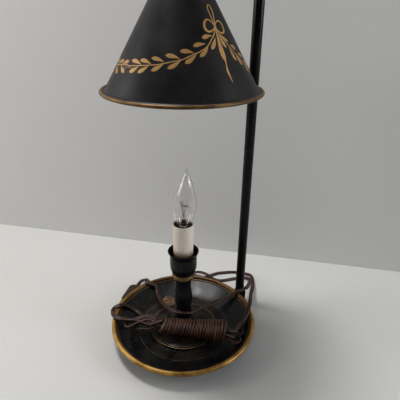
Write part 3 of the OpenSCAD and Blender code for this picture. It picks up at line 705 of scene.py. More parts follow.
plugRun = [
    (-44, -16, 28), (-54, -8.5, 25.5), (-66, -6, 24.5), (-76, -6, 26.2), (-83, -1.5, 26.2),
    (-86.2, 6, 25), (-87, 14, 20.5), (-85.4, 19.5, 14), (-80.5, 23.5, 7), (-72, 26.5, 3.3),
    (-61, 34.5, 2.4), (-49, 51, 2.4), (-36, 65, 2.4), (-20, 76, 2.4), (-7, 91, 2.4),
    (4, 107, 2.4), (15, 114.5, 4), (25, 111, 7.2), (35, 105, 6.9), (44, 100, 3.4),
    (55, 97.5, 2.4), (79, 103, 2.4), (90, 103.5, 2.4), (95.5, 97, 4), (94, 83, 9.5), (89, 66, 17),
    (83.2, 50.2, 24.5), (74, 44, 26), (69, 42, 25.4), (63, 40, 22.8), (55.5, 37, 20.5),
    (48.5, 33, 19.5), (40.5, 28, 20), (32, 20, 23), (24, 9.5, 27.2), (15.5, -2.5, 33),
    (7, -10.5, 37.2), (-1, -12, 38.8), (-10.4, -8, 37.6), (-15.6, 2.5, 31.4), (-21, 16, 24.5),
    (-27.5, 32, 17.5), (-31, 43, 13.6), (-34, 54, 13.2), (-36, 61.5, 16.5), (-38.5, 64.5, 20.2),
    (-42.5, 64, 22), (-47.6, 62.5, 24.2), (-51.2, 66.3, 26), (-50, 74.5, 22.6), (-49.2, 82, 15.2),
    (-49.8, 89, 9.2), (-53.2, 94.4, 6.4), (-58.8, 94.6, 5.8), (-62.6, 89.4, 5.8),
    (-65.2, 81.4, 5.8),
]
rimFold = [
    (-37.5, -16.5, 30), (-47.4, -9.6, 27), (-59, -5.4, 22.5), (-65.7, -2.8, 21),
    (-71.5, -1.4, 21.5), (-77.5, -0.4, 22.8), (-82.9, 2.1, 24), (-86.1, 7.2, 24.2),
    (-86.8, 13.3, 23.6), (-83.6, 17.7, 24), (-78.8, 20.2, 24.6), (-73.8, 23.8, 21.5),
    (-66.8, 24.8, 15.6), (-57.8, 21.3, 11.5), (-50, 11.5, 13.5), (-42, -1, 19.5),
    (-36.3, -11.3, 26),
]
crossFold = [
    (-31.5, -18.7, 35.4), (-39.6, -10.3, 33.5), (-48.3, -6.7, 29), (-56.3, -5.6, 24.5),
    (-63, -4.8, 21.5), (-68.8, -3.8, 19.8), (-73.2, -5.8, 18.8), (-74, -9.2, 18.2),
    (-71, -12.2, 16.6), (-65.2, -11.8, 18.5), (-55.7, -10.8, 23.6), (-45.6, -12.2, 29.6),
    (-36.8, -15.8, 33.4),
]
lowFold = [
    (-38.4, -16.1, 25), (-47.5, -7.9, 20.5), (-54.5, -3.5, 16.5), (-60.5, -4.3, 14.5),
    (-62.2, -8.2, 14), (-58.2, -11.2, 14.2), (-47.5, -14.5, 19), (-38.2, -19.6, 23.5),
]
rightFoldBack = [
    (53.3, -25.1, 20.5), (60.5, -20.5, 17), (66.2, -17.8, 16.5), (71.2, -18.8, 18),
    (73, -22.4, 19), (70.6, -26.2, 18.3), (65, -26.8, 16.2), (58.8, -26.2, 16.8),
    (52.1, -28.5, 20),
]
rightFoldFront = [
    (51.6, -30.9, 21), (57.6, -29.8, 17), (62.5, -30.5, 16.8), (65.5, -33.5, 17.8),
    (65.2, -38, 18.4), (60.8, -40.8, 17.6), (55.2, -38.2, 17.5),
]

# straight runs in the hank, left and right ends [back, up], the first one leftwards; and the
# folds between them, with how far their flat side leans
innerRuns = [
    ((-2.3, 0.2), (-1, 3.2)), ((2.3, 0.2), (3.4, 0.6)), ((2.3, 2.9), (1.2, -2.2)),
    ((-2.3, 2.9), (-3.4, -1)), ((-2.3, -2.6), (-4.4, -4.6)), ((2.3, -2.6), (2.6, -4.8)),
]
folds = [
    (rimFold, 0.5), (rightFoldBack, 1.2), (crossFold, 1.2), (rightFoldFront, 1.2), (lowFold, 1),
]

hankLength = float(np.linalg.norm(hankEnds[1] - hankEnds[0]))
hankAxis = (hankEnds[1] - hankEnds[0]) / hankLength
hankUp = unitRows(np.array([0, 0, 1]) - hankAxis * hankAxis[2])
hankBack = np.cross(hankUp, hankAxis)


# a place in the hank: along it from its left end, towards the back, and up
def inHank(along, back, up):
    along, back, up = (np.asarray(v, float)[..., None] for v in (along, back, up))
    return hankEnds[0] + hankAxis * along + hankBack * back + hankUp * up


# on the table the flat cord rests on its flat side, apart from the first points
def settled(points, first):
    p = np.array(points) * mm
    most, high, over = cordSize["sink"]
    p[first:, 2] -= most * np.clip((high - p[first:, 2]) / over, 0, 1)
    return p


# route rows [place, way the flat side faces]: up on the table, rolling a little above it
def looseRows(p, roll, start=0):
    low, over, rate = cordSize["roll"]
    raised = np.clip((p[:, 2] - low) / over, 0, 1)
    a = (roll * np.sin(start + rate * np.arange(len(p))) * raised)[:, None]
    side = waysOff(p, [0, 0, 1])[0][:, 0]
    return np.hstack([p, np.cos(a) * np.array([[0, 0, 1]]) + np.sin(a) * side])


# a fold: the flat side turns in towards the middle of the fold, most at its end
def foldRows(points, lean):
    p = np.array(points) * mm
    t = np.linspace(0, np.pi, len(p))[:, None]
    flat = np.array([[0, 0, 1]]) + lean * np.sin(t) ** 2 * unitRows(p.mean(0) - p)
    return np.hstack([p, unitRows(flat)])


# rows at places in the hank, in millimetres, all facing the same way
def hankRows(places, flat):
    p = np.array(places) * mm
    return np.hstack([inHank(*p.T), np.tile(flat, (len(p), 1))])


# a straight run through the hank between two offsets [back, up]
def coreRows(left, right, leftwards):
    s = np.array(cordSize["core"])
    share = np.clip(s * mm / hankLength, 0, 1)[:, None]
    off = np.array(left) * (1 - share) + np.array(right) * share
    rows = hankRows(np.column_stack([s, off]), hankUp)
    return rows[::-1] if leftwards else rows


# the turns: radius follows the hank's outline, the angle grows evenly, and each turn leans
def windingRows(c):
    turn = np.linspace(0, c["turns"], int(c["turns"] * c["perTurn"]) + 1)
    angle = np.radians(c["start"]) + 2 * np.pi * turn
    share = turn / c["turns"]
    begin, end = hankLength / mm + c["ends"][0], c["ends"][1]
    s = begin - (begin - end) * share
    s = s + (c["lean"][0] + c["lean"][1] * share ** c["lean"][2]) * np.cos(angle)
    for height, rate, phase in c["stray"]:
        s = s + height * np.sin(rate * turn + phase)
    r = np.interp(s, *np.array(hankRadius).T) - c["inset"]
    r = r + c["swell"][0] * np.sin(c["swell"][1] * turn) + c["oval"] * np.sin(2 * angle + turn)
    radial = hankUp * np.cos(angle)[:, None] - hankBack * np.sin(angle)[:, None]
    tilt = np.radians(c["tilt"])
    flat = radial * np.cos(tilt) - hankAxis * np.sin(tilt)
    place = hankEnds[0] + hankAxis * (s[:, None] * mm) + radial * (r[:, None] * mm)
    return np.hstack([place, flat])


# rows at even steps along the route
def evenRows(rows, step):
    far = np.concatenate([[0], np.cumsum(np.linalg.norm(np.diff(rows[:, :3], axis=0), axis=1))])
    at = np.linspace(0, far[-1], int(far[-1] / step) + 1)
    return np.stack([np.interp(at, far, column) for column in rows.T], 1)


# where the route turns tighter than radius, its points move towards the middle of their
# neighbours
def easedRows(rows, radius, rounds):
    rows = rows.copy()
    for _ in range(rounds):
        ahead = np.diff(rows[:, :3], axis=0)
        step = np.linalg.norm(ahead, axis=1)
        turn = np.linalg.norm(np.diff(ahead / step[:, None], axis=0), axis=1)
        need = np.clip(turn * radius / (0.5 * (step[1:] + step[:-1])) - 1, 0, 1)
        need = np.convolve(need, np.ones(5) / 3, "same").clip(0, 1)[:, None]
        rows[1:-1] += 0.4 * need * (0.5 * (rows[2:] + rows[:-2]) - rows[1:-1])
    return rows


def cordRows(c):
    toPlug = looseRows(settled(plugRun, 0), 0.4, 0.7)
    toPlug[-3:, 3:] = (0, 0, 1)
    pieces = [looseRows(settled(lampRun, 2), 0.35)]
    for k, (left, right) in enumerate(innerRuns):
        pieces.append(coreRows(left, right, k % 2 == 0))
        pieces += [foldRows(*fold) for fold in folds[k : k + 1]]
    curl = np.array(c["curl"]) + (hankLength / mm, 0, 0)
    pieces += [hankRows(curl, hankAxis * -0.6 + hankUp * 0.2), windingRows(c)]
    pieces += [hankRows(c["leave"], hankUp), toPlug]
    rows = evenRows(smoothLine(np.vstack(pieces), 4), c["step"])
    rows = evenRows(easedRows(rows, c["bend"], c["rounds"]), c["step"])
    rows[:, 3:] = unitRows(rows[:, 3:])
    return rows


# figure-eight section: two round cores, the web between them lowered by the groove
def cordSection(c):
    a = roundAngles(c["sides"])
    x, r = c["width"] / 2 * np.cos(a), c["thickness"] / 2
    inner = c["width"] / 2 - r
    share = np.where(np.abs(x) > inner, 1, c["groove"])
    y = r * np.sqrt(np.clip(1 - share * ((np.abs(x) - inner) / r) ** 2, 0, 1))
    return np.stack([x, y * np.sign(np.round(np.sin(a), 9))], 1)


rows = cordRows(cordSize)
cordLine = rows[:, :3]
cordMesh = gridMesh(sweepGrid(cordLine, rows[:, 3:], cordSection(cordSize)), angle=80)
cordNodes = ("cord_lamp_run", "cord_hank", "cord_plug_run")
cord = addPiece("cord", cordMesh, "base", brownCord, *cordNodes)


# plug: rounded block that widens from the cord, with grip ribs and a groove near its face;
# ribs are [first, last, pitch, depth]
plugSize = {
    "rear": (-0.0652, 0.0814, 0.0058), "turn": 252.5, "length": 32, "half": 9, "flank": 5.5,
    "ribs": (9, 25, 2, 0.35), "groove": 1.1, "round": 0.55,
}


def plugMesh(c):
    end, half, flank = c["length"], c["half"], c["flank"]
    inner = half - c["groove"]
    middle = np.linspace(0.8, end - 0.8, 120)
    x = np.concatenate([[0, 0.1, 0.3], middle, [end - 0.3, end - 0.05, end, end]])
    wide = [(0, 4), (0.1, 4.4), (0.3, 5.2), (1.2, 7.2), (2.6, 8.4), (4.5, half)]
    wide += [(end - 4.6, half), (end - 4.2, inner), (end - 3, inner), (end - 2.6, half)]
    wide += [(end - 0.7, half), (end, half - 0.7)]
    thick = [(0, 2.2), (0.1, 2.6), (0.3, 2.9), (2, 3.4), (8, flank - 0.1)]
    thick += [(end - 0.7, flank - 0.1), (end, flank - 0.7)]
    first, last, pitch, depth = c["ribs"]
    wave = depth * (0.5 - 0.5 * np.cos(2 * np.pi * (x - first) / pitch))
    ribs = np.where((x > first) & (x < last), wave, 0)
    wide = np.interp(x, *np.array(wide).T) - ribs
    thick = np.interp(x, *np.array(thick).T) - ribs * 0.5
    wide[[0, -1]] = thick[[0, -1]] = 0
    ca, sa = np.cos(roundAngles(48)), np.sin(roundAngles(48))
    x = x[:, None]
    y = wide[:, None] * np.sign(ca) * np.abs(ca) ** c["round"]
    z = thick[:, None] * np.sign(sa) * np.abs(sa) ** c["round"]
    ct, st = math.cos(math.radians(c["turn"])), math.sin(math.radians(c["turn"]))
    p = np.stack([x * ct - y * st, x * st + y * ct, z], -1)
    return gridMesh(p * mm + np.array(c["rear"]), angle=30)


plug = addPiece("plug", plugMesh(plugSize), "base", plugMould, "plug_body")
print("plug made")


# dish with its rolled rim, in millimetres; the dome falls partly straight and partly curved,
# and the seam is [radius, height over the wall]
dishSize = {
    "bore": 5.1, "land": 9, "seat": 12.4, "seatHeight": 18, "dome": (7.7, 0.35, 0.65),
    "domeFoot": 38, "step": 40, "stepRound": 0.6, "floor": 54, "floorRound": 0.5,
    "floorHeight": 7, "wallTop": 82.1, "rimHeight": 20, "wallCurve": 1.25, "sheet": 0.8,
    "bead": (83, 20, 2.7),
    "seam": [
        (80.4, 0.08), (78.25, 0.08), (78.3, 0.7), (78.5, 1), (78.8, 1.1), (79.1, 1), (79.35, 0.6),
        (79.6, 0.42), (80.4, 0.42),
    ],
}


def wallHeight(c, r):
    share = (r - c["floor"]) / (c["wallTop"] - c["floor"])
    return c["floorHeight"] + (c["rimHeight"] - c["floorHeight"]) * share ** c["wallCurve"]


def dishOutline(c):
    s = np.linspace(0, 1, 30)
    drop, straight, curved = c["dome"]
    fall = drop * (straight * s + curved * s * s)
    dome = np.stack([c["seat"] + (c["domeFoot"] - c["seat"]) * s, c["seatHeight"] - fall], 1)
    r = np.linspace(c["floor"], c["wallTop"], 44)
    wall = np.stack([r, wallHeight(c, r)], 1)
    high, low = c["stepRound"], c["floorRound"]
    upper = arcLine(c["step"] - high, dome[-1, 1] - high, high, 80, 0, 5)
    lower = arcLine(c["step"] + low, c["floorHeight"] + low, low, 180, 270, 5)
    middle = [[c["bore"], c["seatHeight"]], [c["land"], c["seatHeight"]]]
    line = np.vstack([middle, dome, upper, lower, wall])
    return np.vstack([line, besideLine(line, c["sheet"])[::-1]])


# a bead whose radius swells a little along the way round
def rimMesh(radius, height, bead, steps, around, swell):
    a, t = roundAngles(around)[None, :], roundAngles(steps)[:, None]
    b = bead * (1 - swell * (0.5 + 0.25 * np.sin(5 * a + 1) + 0.25 * np.sin(11 * a)))
    r = radius + b * np.cos(t)
    grid = np.stack([r * np.cos(a), r * np.sin(a), height + b * np.sin(t)], -1) * mm
    return gridMesh(grid, loop=True, angle=80)


def seamOutline(c):
    r, lift = np.array(c["seam"]).T
    return np.stack([r, wallHeight(c, r) + lift], 1)


lathePiece("dish", dishOutline(dishSize), 160, "base", dishPaint)
rimParts = [
    rimMesh(*dishSize["bead"], 24, 200, 0.03),
    gridMesh(latheGrid(seamOutline(dishSize), 200), loop=True),
]
standIn("dish_rim", joinMeshes(rimParts), "base", rimPaint)


# turned pieces: one closed along its bore, and one closed at its top over a shank or a socket
def boredLine(knots, steps, bore):
    return np.vstack([[[bore, knots[0][1]]], turnedLine(knots, steps), [[bore, knots[-1][1]]]])


def finialLine(knots, inner, low):
    shank = [[0, low], [inner, low], [inner, knots[0][1]]]
    return np.vstack([shank, turnedLine(knots, 10), [[0, knots[-1][1]]]])


# stem, collar and candle cup
stemKnots = [
    (11.5, 18), (11.5, 20.96), (9.2, 26.19), (10.4, 30.92), (8.3, 37.53), (10.4, 51.39),
    (8.7, 71.55), (9.1, 81),
]
collarKnots = [(9.7, 81), (12.9, 84.25), (12.9, 85.88), (11.7, 87.5)]
lathePiece("stem", boredLine(stemKnots, 14, 5.1), 96, "base", stemPaint)
lathePiece("gilt_collar", boredLine(collarKnots, 10, 5.1), 96, "base", shadeRimPaint)

# the cup's bowl and flare each say where they start and how far they go out and up
cupSize = {
    "bore": 5.1, "bowl": (8.8, 87.5, 6.3, 11.6), "flare": (15.1, 108.38, 2.2, 8.12),
    "lip": [[17.1, 116.95], [16.7, 117.05], [16.3, 116.9]], "wall": 1,
}


def cupOutline(c):
    r, height, out, up = c["bowl"]
    a = np.radians(np.linspace(0, 90, 16))
    bowl = np.stack([r + out * np.sin(a), height + up * (1 - np.cos(a))], 1)
    s = np.linspace(0, 1, 12)
    flareR, flareHeight, flareOut, flareUp = c["flare"]
    flare = np.stack([flareR + flareOut * s**2, flareHeight + flareUp * s], 1)
    line = np.vstack([[[c["bore"], height]], bowl, flare])
    return np.vstack([line, c["lip"], besideLine(line, -c["wall"])[::-1]])


lathePiece("candle_cup", cupOutline(cupSize), 112, "base", stemPaint)

# candle cover: its four rounded corners, as arcs
coverCorners = [
    (10.55, 90.38, 0.25, 180, 270, 4),
    (10.95, 90.38, 0.25, 270, 360, 4),
    (10.9, 150.83, 0.3, 0, 90, 5),
    (10.6, 150.83, 0.3, 90, 180, 5),
]
coverOutline = np.vstack([arcLine(*corner) for corner in coverCorners])
lathePiece("candle_cover", coverOutline, 96, "base", candlePaper)

# bulb: glass, mount, lead wires and filament lean together on the screw base
bulb = {
    "seam": 148.13, "lean": 3.6, "wall": 0.5, "neck": 4.1, "tip": [[0.45, 67.15], [0, 67.2]],
    "wire": 0.3, "coil": (0.3, 44, 0.11),
}
glassKnots = [
    (4.7, 0), (6.9, 2.68), (9.98, 10.05), (12.16, 17.42), (12.8, 24.12), (12.42, 30.15),
    (11.01, 36.85), (8.32, 45.56), (5.5, 53.6), (2.94, 58.63), (1.79, 60.64), (1.15, 63.65),
    (0.64, 67),
]
mountKnots = [
    (4.05, -0.6), (3.3, 1.6), (2.4, 4.2), (1.75, 6.4), (1.4, 8.4), (1.45, 9.8), (2.1, 10.8),
    (2.15, 11.8), (1.4, 12.5), (0.9, 13.1), (0.85, 14.2), (1.2, 15), (1.28, 15.6), (0.9, 16.4),
    (0, 16.7),
]
leadWires = [
    [(-1.4, 0.6, 11.6), (-1.5, 0.7, 15), (-1.9, 0.9, 18.6), (-3.6, 1, 23.6), (-4.9, 1.2, 27.6),
     (-4.6, 1.1, 28.3)],
    [(-0.4, -1.4, 11.6), (-0.6, -1.5, 15), (-0.9, -1.5, 19.2), (-2.1, -1.4, 24.6),
     (-2.9, -1.4, 29.2), (-2.6, -1.3, 29.9)],
    [(0.2, 0, 15.9), (0.6, 0.2, 19), (1.2, 0.2, 22.6), (1.7, 0.1, 24.6)],
]
filamentArch = [
    (-4.9, 1.2, 28), (-3.1, 1.1, 25), (-1, 1, 22.9), (0.4, 0.9, 24.2), (2.2, 0.7, 24.9),
    (4, 0.3, 23.4), (3.9, -0.3, 22.9), (2.4, -0.8, 24.3), (0.5, -1.1, 24.6), (-1.2, -1.3, 24.4),
    (-2.9, -1.4, 29.6),
]


# turns about the across axis at the seam, then lifts to it
def onBulb(p):
    a = math.radians(bulb["lean"])
    x = p[..., 0] * math.cos(a) + p[..., 2] * math.sin(a)
    z = p[..., 2] * math.cos(a) - p[..., 0] * math.sin(a)
    return np.stack([x, p[..., 1], z + bulb["seam"] * mm], -1)


def glassOutline(c):
    outer = smoothLine(glassKnots, 6)
    inner = besideLine(outer, -c["wall"])
    inner = inner[(inner[:, 0] > 0.3) & (inner[:, 1] > 0.8)][::-1]
    top = [[0, inner[0, 1]]]
    return np.vstack([[[c["neck"], 0]], outer, c["tip"], top, inner, [[c["neck"], 0.8]]])


# coiled filament: a helix whose axis is the arch between the wires
def filamentMesh(c):
    radius, turns, wire = c["coil"]
    arch = smoothLine(np.array(filamentArch) * mm, 60)
    side, out = waysOff(arch, [0.2, 0.9, 0.3])
    a = np.linspace(0, 2 * np.pi * turns, len(arch))[:, None]
    helix = arch + radius * mm * (np.cos(a) * side[:, 0] + np.sin(a) * out[:, 0])
    return tubeMesh(onBulb(helix), wire * mm, 6)


mountOutline = np.vstack([[[0, -0.6]], smoothLine(mountKnots, 4)])
wireLines = [onBulb(smoothLine(np.array(points) * mm, 8)) for points in leadWires]
wires = [tubeMesh(line, bulb["wire"] * mm, 8) for line in wireLines]
lathePiece("bulb_glass", glassOutline(bulb), 96, "base", bulbGlass, move=onBulb)
lathePiece("bulb_mount", mountOutline, 40, "base", mountGlass, loop=False, move=onBulb)
standIn("bulb_wires", joinMeshes(wires), "base", greyWire)
standIn("bulb_filament", filamentMesh(bulb), "base", greyWire)
print("candle and bulb made")

# rod, its finial and the shade's finial
rodPlace = (75.279, 54.693)
rodOutline = [[2.05, 6.1], [5.25, 6.1], [5.55, 6.4], [5.55, 437.6], [5.15, 438], [2.05, 438]]
rodKnots = [
    (6.45, 438), (6.45, 439.6), (3.2, 442.2), (6.6, 448.4), (1.6, 454), (2.2, 456), (0.2, 457.6),
]
rodTop = finialLine(rodKnots, 1.95, 430)
topKnots = [
    (5.4, 408.5), (5.4, 409.9), (3.4, 412.1), (6, 418), (2.2, 423.1), (3, 425.5), (0.2, 428.1),
]
shadeTop = finialLine(topKnots, 3.1, 414)
lathePiece("rod", rodOutline, 64, "base", rodPaint, axis=rodPlace)
lathePiece("rod_finial", rodTop, 64, "base", brassMetal, axis=rodPlace, loop=False)
lathePiece("shade_finial", shadeTop, 64, "shade", brassMetal, loop=False)

# shade with its bead and painted garlands
shadeSize = {
    "top": (11.5, 396.2), "foot": (70.3, 293.6), "edge": (73.08, 292.4), "sheet": 0.6,
    "bead": (73.8, 292.2, 1.6), "lift": (0.05, 0.07), "garlands": (-48.58, 131.42),
}
slope = (shadeSize["foot"][0] - shadeSize["top"][0]) / (
    shadeSize["top"][1] - shadeSize["foot"][1]
)
apex = shadeSize["top"][1] + shadeSize["top"][0] / slope
spread = math.sin(math.atan(slope))
upright = math.sqrt(1 - spread**2)


def shadeOutline(c):
    top, foot, edge = (np.array(c[k]) for k in ("top", "foot", "edge"))
    down = top + np.linspace(0, 1, 28)[:, None] * (foot + (-0.46, 0.8) - top)
    line = np.vstack([down, foot + (0.1, 0.02), foot + (0.7, -0.22), edge])
    return np.vstack([line, besideLine(line, c["sheet"])[::-1]])


lathePiece("shade", shadeOutline(shadeSize), 180, "shade", shadePaint)
standIn("shade_rim", rimMesh(*shadeSize["bead"], 18, 180, 0.04), "shade", shadeRimPaint)


# the cone rolled out flat: (x, y) has its angle round the shade in x and its way down in y
def onCone(flat, lift, turn):
    s = np.hypot(flat[..., 0], flat[..., 1])
    a = np.arctan2(flat[..., 0], flat[..., 1]) / spread + math.radians(turn)
    r = s * spread + lift * upright
    return np.stack([r * np.cos(a), r * np.sin(a), apex - s * upright + lift * spread], -1) * mm


# strokes as sheets: each grid is [stroke, along, across]; the paint stands proud in its middle
def strokeMesh(flat, across, shade, turn):
    edge, middle = shadeSize["lift"]
    grid = onCone(flat, edge + middle * (1 - across**2), turn)
    count, rows, cols = grid.shape[:3]
    index = np.arange(rows * cols).reshape(rows, cols)
    quads = fours(index.T, -1).swapaxes(0, 1).reshape(-1, 4)
    quads = quads + (np.arange(count) * rows * cols)[:, None, None]
    quads = quads.reshape(-1, 4)
    points = grid.reshape(-1, 3)
    a, b, c, d = (points[quads[:, k]] for k in range(4))
    facing = (np.cross(c - a, d - b) * (a + b + c + d) * [1, 1, 0]).sum(1)
    mesh = quadMesh(points, np.where(facing[:, None] < 0, quads[:, ::-1], quads))
    values = np.broadcast_to(shade, grid.shape[:3]).astype(np.float32).ravel()
    mesh.attributes.new("shade", "FLOAT", "POINT").data.foreach_set("value", values)
    mesh.shade_smooth()
    return mesh


# leaf: a teardrop from a thin base to a round tip, its width w sin(pi v^1.7)^0.7
def leafStrokes(leaves):
    e = np.array(leaves, float)
    v = np.linspace(0, 1, 12)[None, :, None]
    u = np.linspace(-1, 1, 7)[None, None, :]
    base, tip = e[:, None, None, :2], e[:, None, None, 2:4]
    along = tip - base
    far = np.linalg.norm(along, axis=-1)
    across = np.stack([-along[..., 1], along[..., 0]], -1) / far[..., None]
    half = e[:, None, None, 4] / 2 * np.sin(np.pi * v**1.7).clip(0) ** 0.7
    bend = 0.05 * far * np.sin(np.pi * v) * e[:, None, None, 5]
    flat = base + along * v[..., None] + across * (half * u + bend)[..., None]
    shade = np.clip(1.15 * (1 - np.abs(u)) * np.minimum(1, 9 * v), 0, 1)
    return flat, u + 0 * half, shade * np.minimum(1, 7 * (1 - v) + 0.1)


# line stroke: width carried along a smooth path [x, y, width]
def lineStroke(points):
    p = smoothLine(points, 5)
    d = unitRows(np.gradient(p[:, :2], axis=0))
    u = np.linspace(-1, 1, 5)
    across = np.stack([-d[:, 1], d[:, 0]], 1)
    flat = p[:, None, :2] + across[:, None] * (u[None, :, None] * p[:, None, 2:] / 2)
    shade = np.clip(1.3 * (1 - np.abs(u)), 0, 1)[None, None]
    return flat[None], np.broadcast_to(u, flat.shape[:2])[None], shade


# leaf: base x, y, tip x, y, width, bend; line: x, y, width; in millimetres on the rolled-out cone
upperLeaves = [
    (-5.8, 86.7, -16.4, 87.5, 4.2, 1), (-14.1, 92.5, -25.8, 91.8, 4.2, 1),
    (-25.8, 97.6, -36.8, 92.3, 4.5, 1), (-38.1, 98.6, -48.4, 90.7, 4.4, 1),
    (-50.6, 96, -59.4, 87.1, 4.1, 1), (-60.8, 92.4, -68.9, 82.8, 4.1, 1),
    (-68.9, 88.2, -76.5, 77.3, 4, 1),
]
lowerLeaves = [
    (-3.1, 87.4, -11.4, 97.8, 4.2, -1), (-12.8, 94.3, -23.6, 101.5, 4.3, -1),
    (-24.5, 98.2, -36.8, 102.9, 4.5, -1), (-37.8, 99.2, -50.7, 101.6, 4.5, -1),
    (-51.4, 96.7, -63.4, 97, 4.5, -1), (-62.9, 92, -74.7, 91.8, 4.5, -1),
    (-71.2, 87.4, -82.2, 86, 4.5, -1),
]
rightLeaves = [
    (0.8, 84, 10.8, 92.2, 2.8, 1), (0.6, 84.5, 5.5, 98, 4, 1), (8.6, 96, 13.6, 108.6, 4.2, 1),
    (11.3, 94.6, 19.6, 98.1, 4.2, -1), (15.4, 101.1, 22.4, 112.1, 4.3, 1),
    (19.4, 101.6, 30, 103.4, 4.2, -1), (25.8, 107.5, 34.8, 117, 4.4, 1),
    (29.6, 107.6, 41.4, 105.4, 4.3, -1), (38, 109.8, 50, 114, 4.5, 1),
    (41.6, 108.4, 51.4, 100.8, 4.3, -1), (50.8, 105.6, 63.4, 106.6, 4.5, 1),
    (53.4, 103, 60.8, 93, 4.1, -1), (61.4, 98.4, 74.4, 97.2, 4.4, 1),
    (62.8, 96.4, 69.2, 85.8, 4.1, -1), (70, 91, 81.6, 88, 4.4, 1), (70.4, 90, 75.6, 80, 4, -1),
]
smallLeaves = [
    (83.6, 76.2, 82.2, 77.6, 1.5, 0), (85.4, 78.4, 84, 79.6, 1.5, 0),
    (81, 79.8, 82.4, 81, 1.5, 0),
]
leftStem = [
    (-0.2, 79.8, 1.3), (-2.1, 83.4, 1.3), (-4.3, 86.3, 1.3), (-9.3, 90.9, 1.2),
    (-14.4, 94.8, 1.2), (-20.8, 97, 1.2), (-25.4, 97.9, 1.2), (-31.9, 98.6, 1.2),
    (-37.3, 99.2, 1.2), (-46, 97.7, 1.1), (-55.7, 95.3, 1.1), (-61.4, 92.7, 1), (-69.5, 88.2, 1),
    (-76, 83.9, 0.8), (-81.4, 79.6, 0.5),
]
rightStem = [
    (0.1, 80.4, 1.3), (2.9, 87.2, 1.3), (5.9, 91.3, 1.3), (10.1, 96.5, 1.2), (15.7, 102.2, 1.2),
    (24.1, 107.6, 1.2), (32, 109.6, 1.2), (41, 108.9, 1.2), (50.5, 105.4, 1.1), (59.8, 99.6, 1.1),
    (68, 92.4, 1), (75, 85.6, 0.9), (80.6, 79.8, 0.5),
]
tallLoop = [
    (0, 78.9, 1), (-0.4, 74.6, 1.1), (-0.8, 70.6, 1.2), (-1.3, 66.6, 1.3), (-1, 63.4, 1.2),
    (0.4, 61.6, 1), (1.9, 62, 1.1), (3, 65.6, 1.4), (2.8, 69.4, 1.4), (1.8, 73.6, 1.2),
    (0.2, 78.6, 1),
]
leftLoop = [
    (-0.2, 79.4, 1.1), (-1.4, 76.8, 1.2), (-3.4, 74.4, 1.3), (-6.1, 73.5, 1.5), (-8.7, 75, 2),
    (-10.1, 77.6, 2.5), (-10.3, 80.4, 2.5), (-8.8, 82.8, 2.3), (-5.8, 83.2, 1.9),
    (-2.6, 81.8, 1.4), (-0.2, 80, 1.1),
]
rightLoop = [
    (0.3, 79.3, 1.1), (2.3, 76.4, 1.2), (6.4, 74.6, 1.4), (9.3, 75.9, 1.9), (10.5, 79, 2.4),
    (10.4, 82, 2.4), (8.2, 84.4, 2.1), (4.9, 84.9, 1.7), (2.3, 83.3, 1.4), (0.3, 80.4, 1.1),
]
ribbonTail = [
    (0, 80.8, 1.2), (-0.6, 85.6, 1.8), (-1.1, 90.6, 3), (-1.5, 95.4, 4.8), (-1.6, 100.4, 5.7),
    (-1.5, 105, 4.8), (-1.3, 108.8, 1.6), (-2, 112.4, 1.5), (-2.6, 116.4, 2.6), (-2, 120.6, 1.8),
    (-1.2, 126.8, 0.3),
]
knotStroke = (-1.4, 79.7, 1.5, 79.8, 2.6, 0)


def garlandMesh(turn):
    mirrored = [(-a, b, -c, d, w, -k) for a, b, c, d, w, k in smallLeaves]
    parts = [leafStrokes(upperLeaves + lowerLeaves + rightLeaves + smallLeaves + mirrored)]
    lines = (leftStem, rightStem, tallLoop, leftLoop, rightLoop, ribbonTail)
    parts += [lineStroke(line) for line in lines] + [leafStrokes([knotStroke])]
    return joinMeshes([strokeMesh(*p, turn) for p in parts])


garlands = [garlandMesh(turn) for turn in shadeSize["garlands"]]
addPiece("shade_garland", joinMeshes(garlands), "shade", goldStrokes)
print("shade made")

# CAD pieces that keep their shape, by finish
kept = (
    (ironPaint, "base_ring rod_strap"),
    (feltCloth, "felt_ring"),
    (blackRubber, "strap_foot bulb_insulator cord_bushing"),
    (zincMetal, "rod_screw lock_washer socket_bracket socket_screw retaining_ring"),
    (brassMetal, "nipple base_nut center_contact collar_bush thumb_screw shade_stud cap_nut"),
    (brassMetal, "eye_washer plug_blades"),
    (brownMould, "socket_body"),
    (shadedAgedBrass, "screw_shell bulb_base"),
    (solderMetal, "bulb_contact"),
    (brownCord, "supply_lead"),
    (rodPaint, "slide_collar arm"),
    (shadePaint, "shade_cap"),
)
for finish, names in kept:
    for name in names.split():
        nodes[name].data.materials.clear()
        nodes[name].data.materials.append(finish[1])

# floor, backdrop and lights
stageLook = {
    "floor": paint(188, 187, 184), "wall": paint(212, 211, 209), "shaded": 0.96, "rough": 0.75,
    "foot": (0.0277, 0.1886), "turn": -13.73, "half": 4, "height": 3,
}


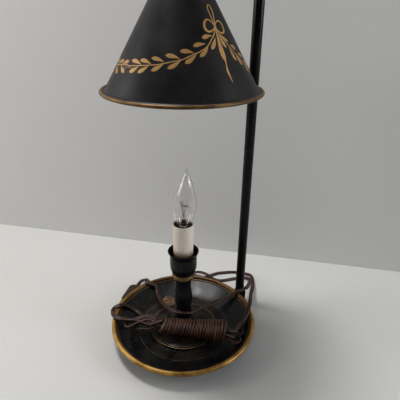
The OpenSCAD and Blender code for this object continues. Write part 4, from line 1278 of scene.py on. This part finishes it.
def stageMaterial(name, oneSided):
    material, shader = newMaterial(name)
    colour = stageLook["wall" if oneSided else "floor"]
    shaded = tuple(stageLook["shaded"] * v for v in colour)
    tone = ramp(noise(objectPlace(), 3), 0.3, 0.7)
    feedAll(shader, {"Base Color": mix(tone, colour, shaded), "Roughness": stageLook["rough"]})
    if oneSided:
        back = newNode("NewGeometry").outputs["Backfacing"]
        clear = newNode("BsdfTransparent").outputs[0]
        seen = newNode("MixShader", back, shader.outputs[0], clear).outputs[0]
        feed(material.node_tree.nodes["Material Output"].inputs["Surface"], seen)
    return material


def stagePlane(name, corners, material):
    mesh = bpy.data.meshes.new(name)
    mesh.from_pydata(corners, [], [(0, 1, 2, 3)])
    mesh.materials.append(material)
    plane = addObject(name, mesh)


def wallCorners(c):
    turn = math.radians(c["turn"])
    run = np.array([math.cos(turn), math.sin(turn)]) * c["half"]
    (a, b), (d, e) = ((np.array(c["foot"]) + run * k).tolist() for k in (-1, 1))
    return [(a, b, 0), (d, e, 0), (d, e, c["height"]), (a, b, c["height"])]


floorCorners = [(-5, -5, 0), (5, -5, 0), (5, 5, 0), (-5, 5, 0)]
stagePlane("floor", floorCorners, stageMaterial("table top", False))
stagePlane("backdrop", wallCorners(stageLook), stageMaterial("wall", True))

# lamps: name, place, point they face, size, power and colour
lamps = (
    ("ceiling", (-0.26, 0.19, 1.25), (0, 0.03, 0), 0.36, 11.4, (1, 0.995, 0.985)),
    ("left window", (-1.35, 0.06, 0.66), (0, 0.1, 0.2), 0.9, 7.6, (1, 0.99, 0.98)),
    ("right window", (1.55, -0.45, 0.7), (0.1, 0, 0.15), 0.9, 14.6, (0.92, 0.955, 1)),
    ("front left window", (-1.45, -0.35, 0.6), (0, 0, 0.2), 0.4, 1.6, (1, 1, 1)),
)
for name, place, target, size, power, colour in lamps:
    data = bpy.data.lights.new(name, "AREA")
    data.shape, data.size, data.energy, data.color = "DISK", size, power, colour
    aim = (Vector(place) - Vector(target)).to_track_quat("Z", "Y")
    turned = Matrix.Translation(place) @ aim.to_matrix().to_4x4()
    addObject(name, data).matrix_world = turned

world = bpy.data.worlds.new("room")
scene.world = world
world.use_nodes = True
sky = world.node_tree.nodes["Background"].inputs
sky["Color"].default_value = (0.9, 0.92, 0.95, 1)
sky["Strength"].default_value = 0.14
scene.view_settings.view_transform = "Standard"
scene.view_settings.look = "Medium High Contrast"
print("stage and lights set")
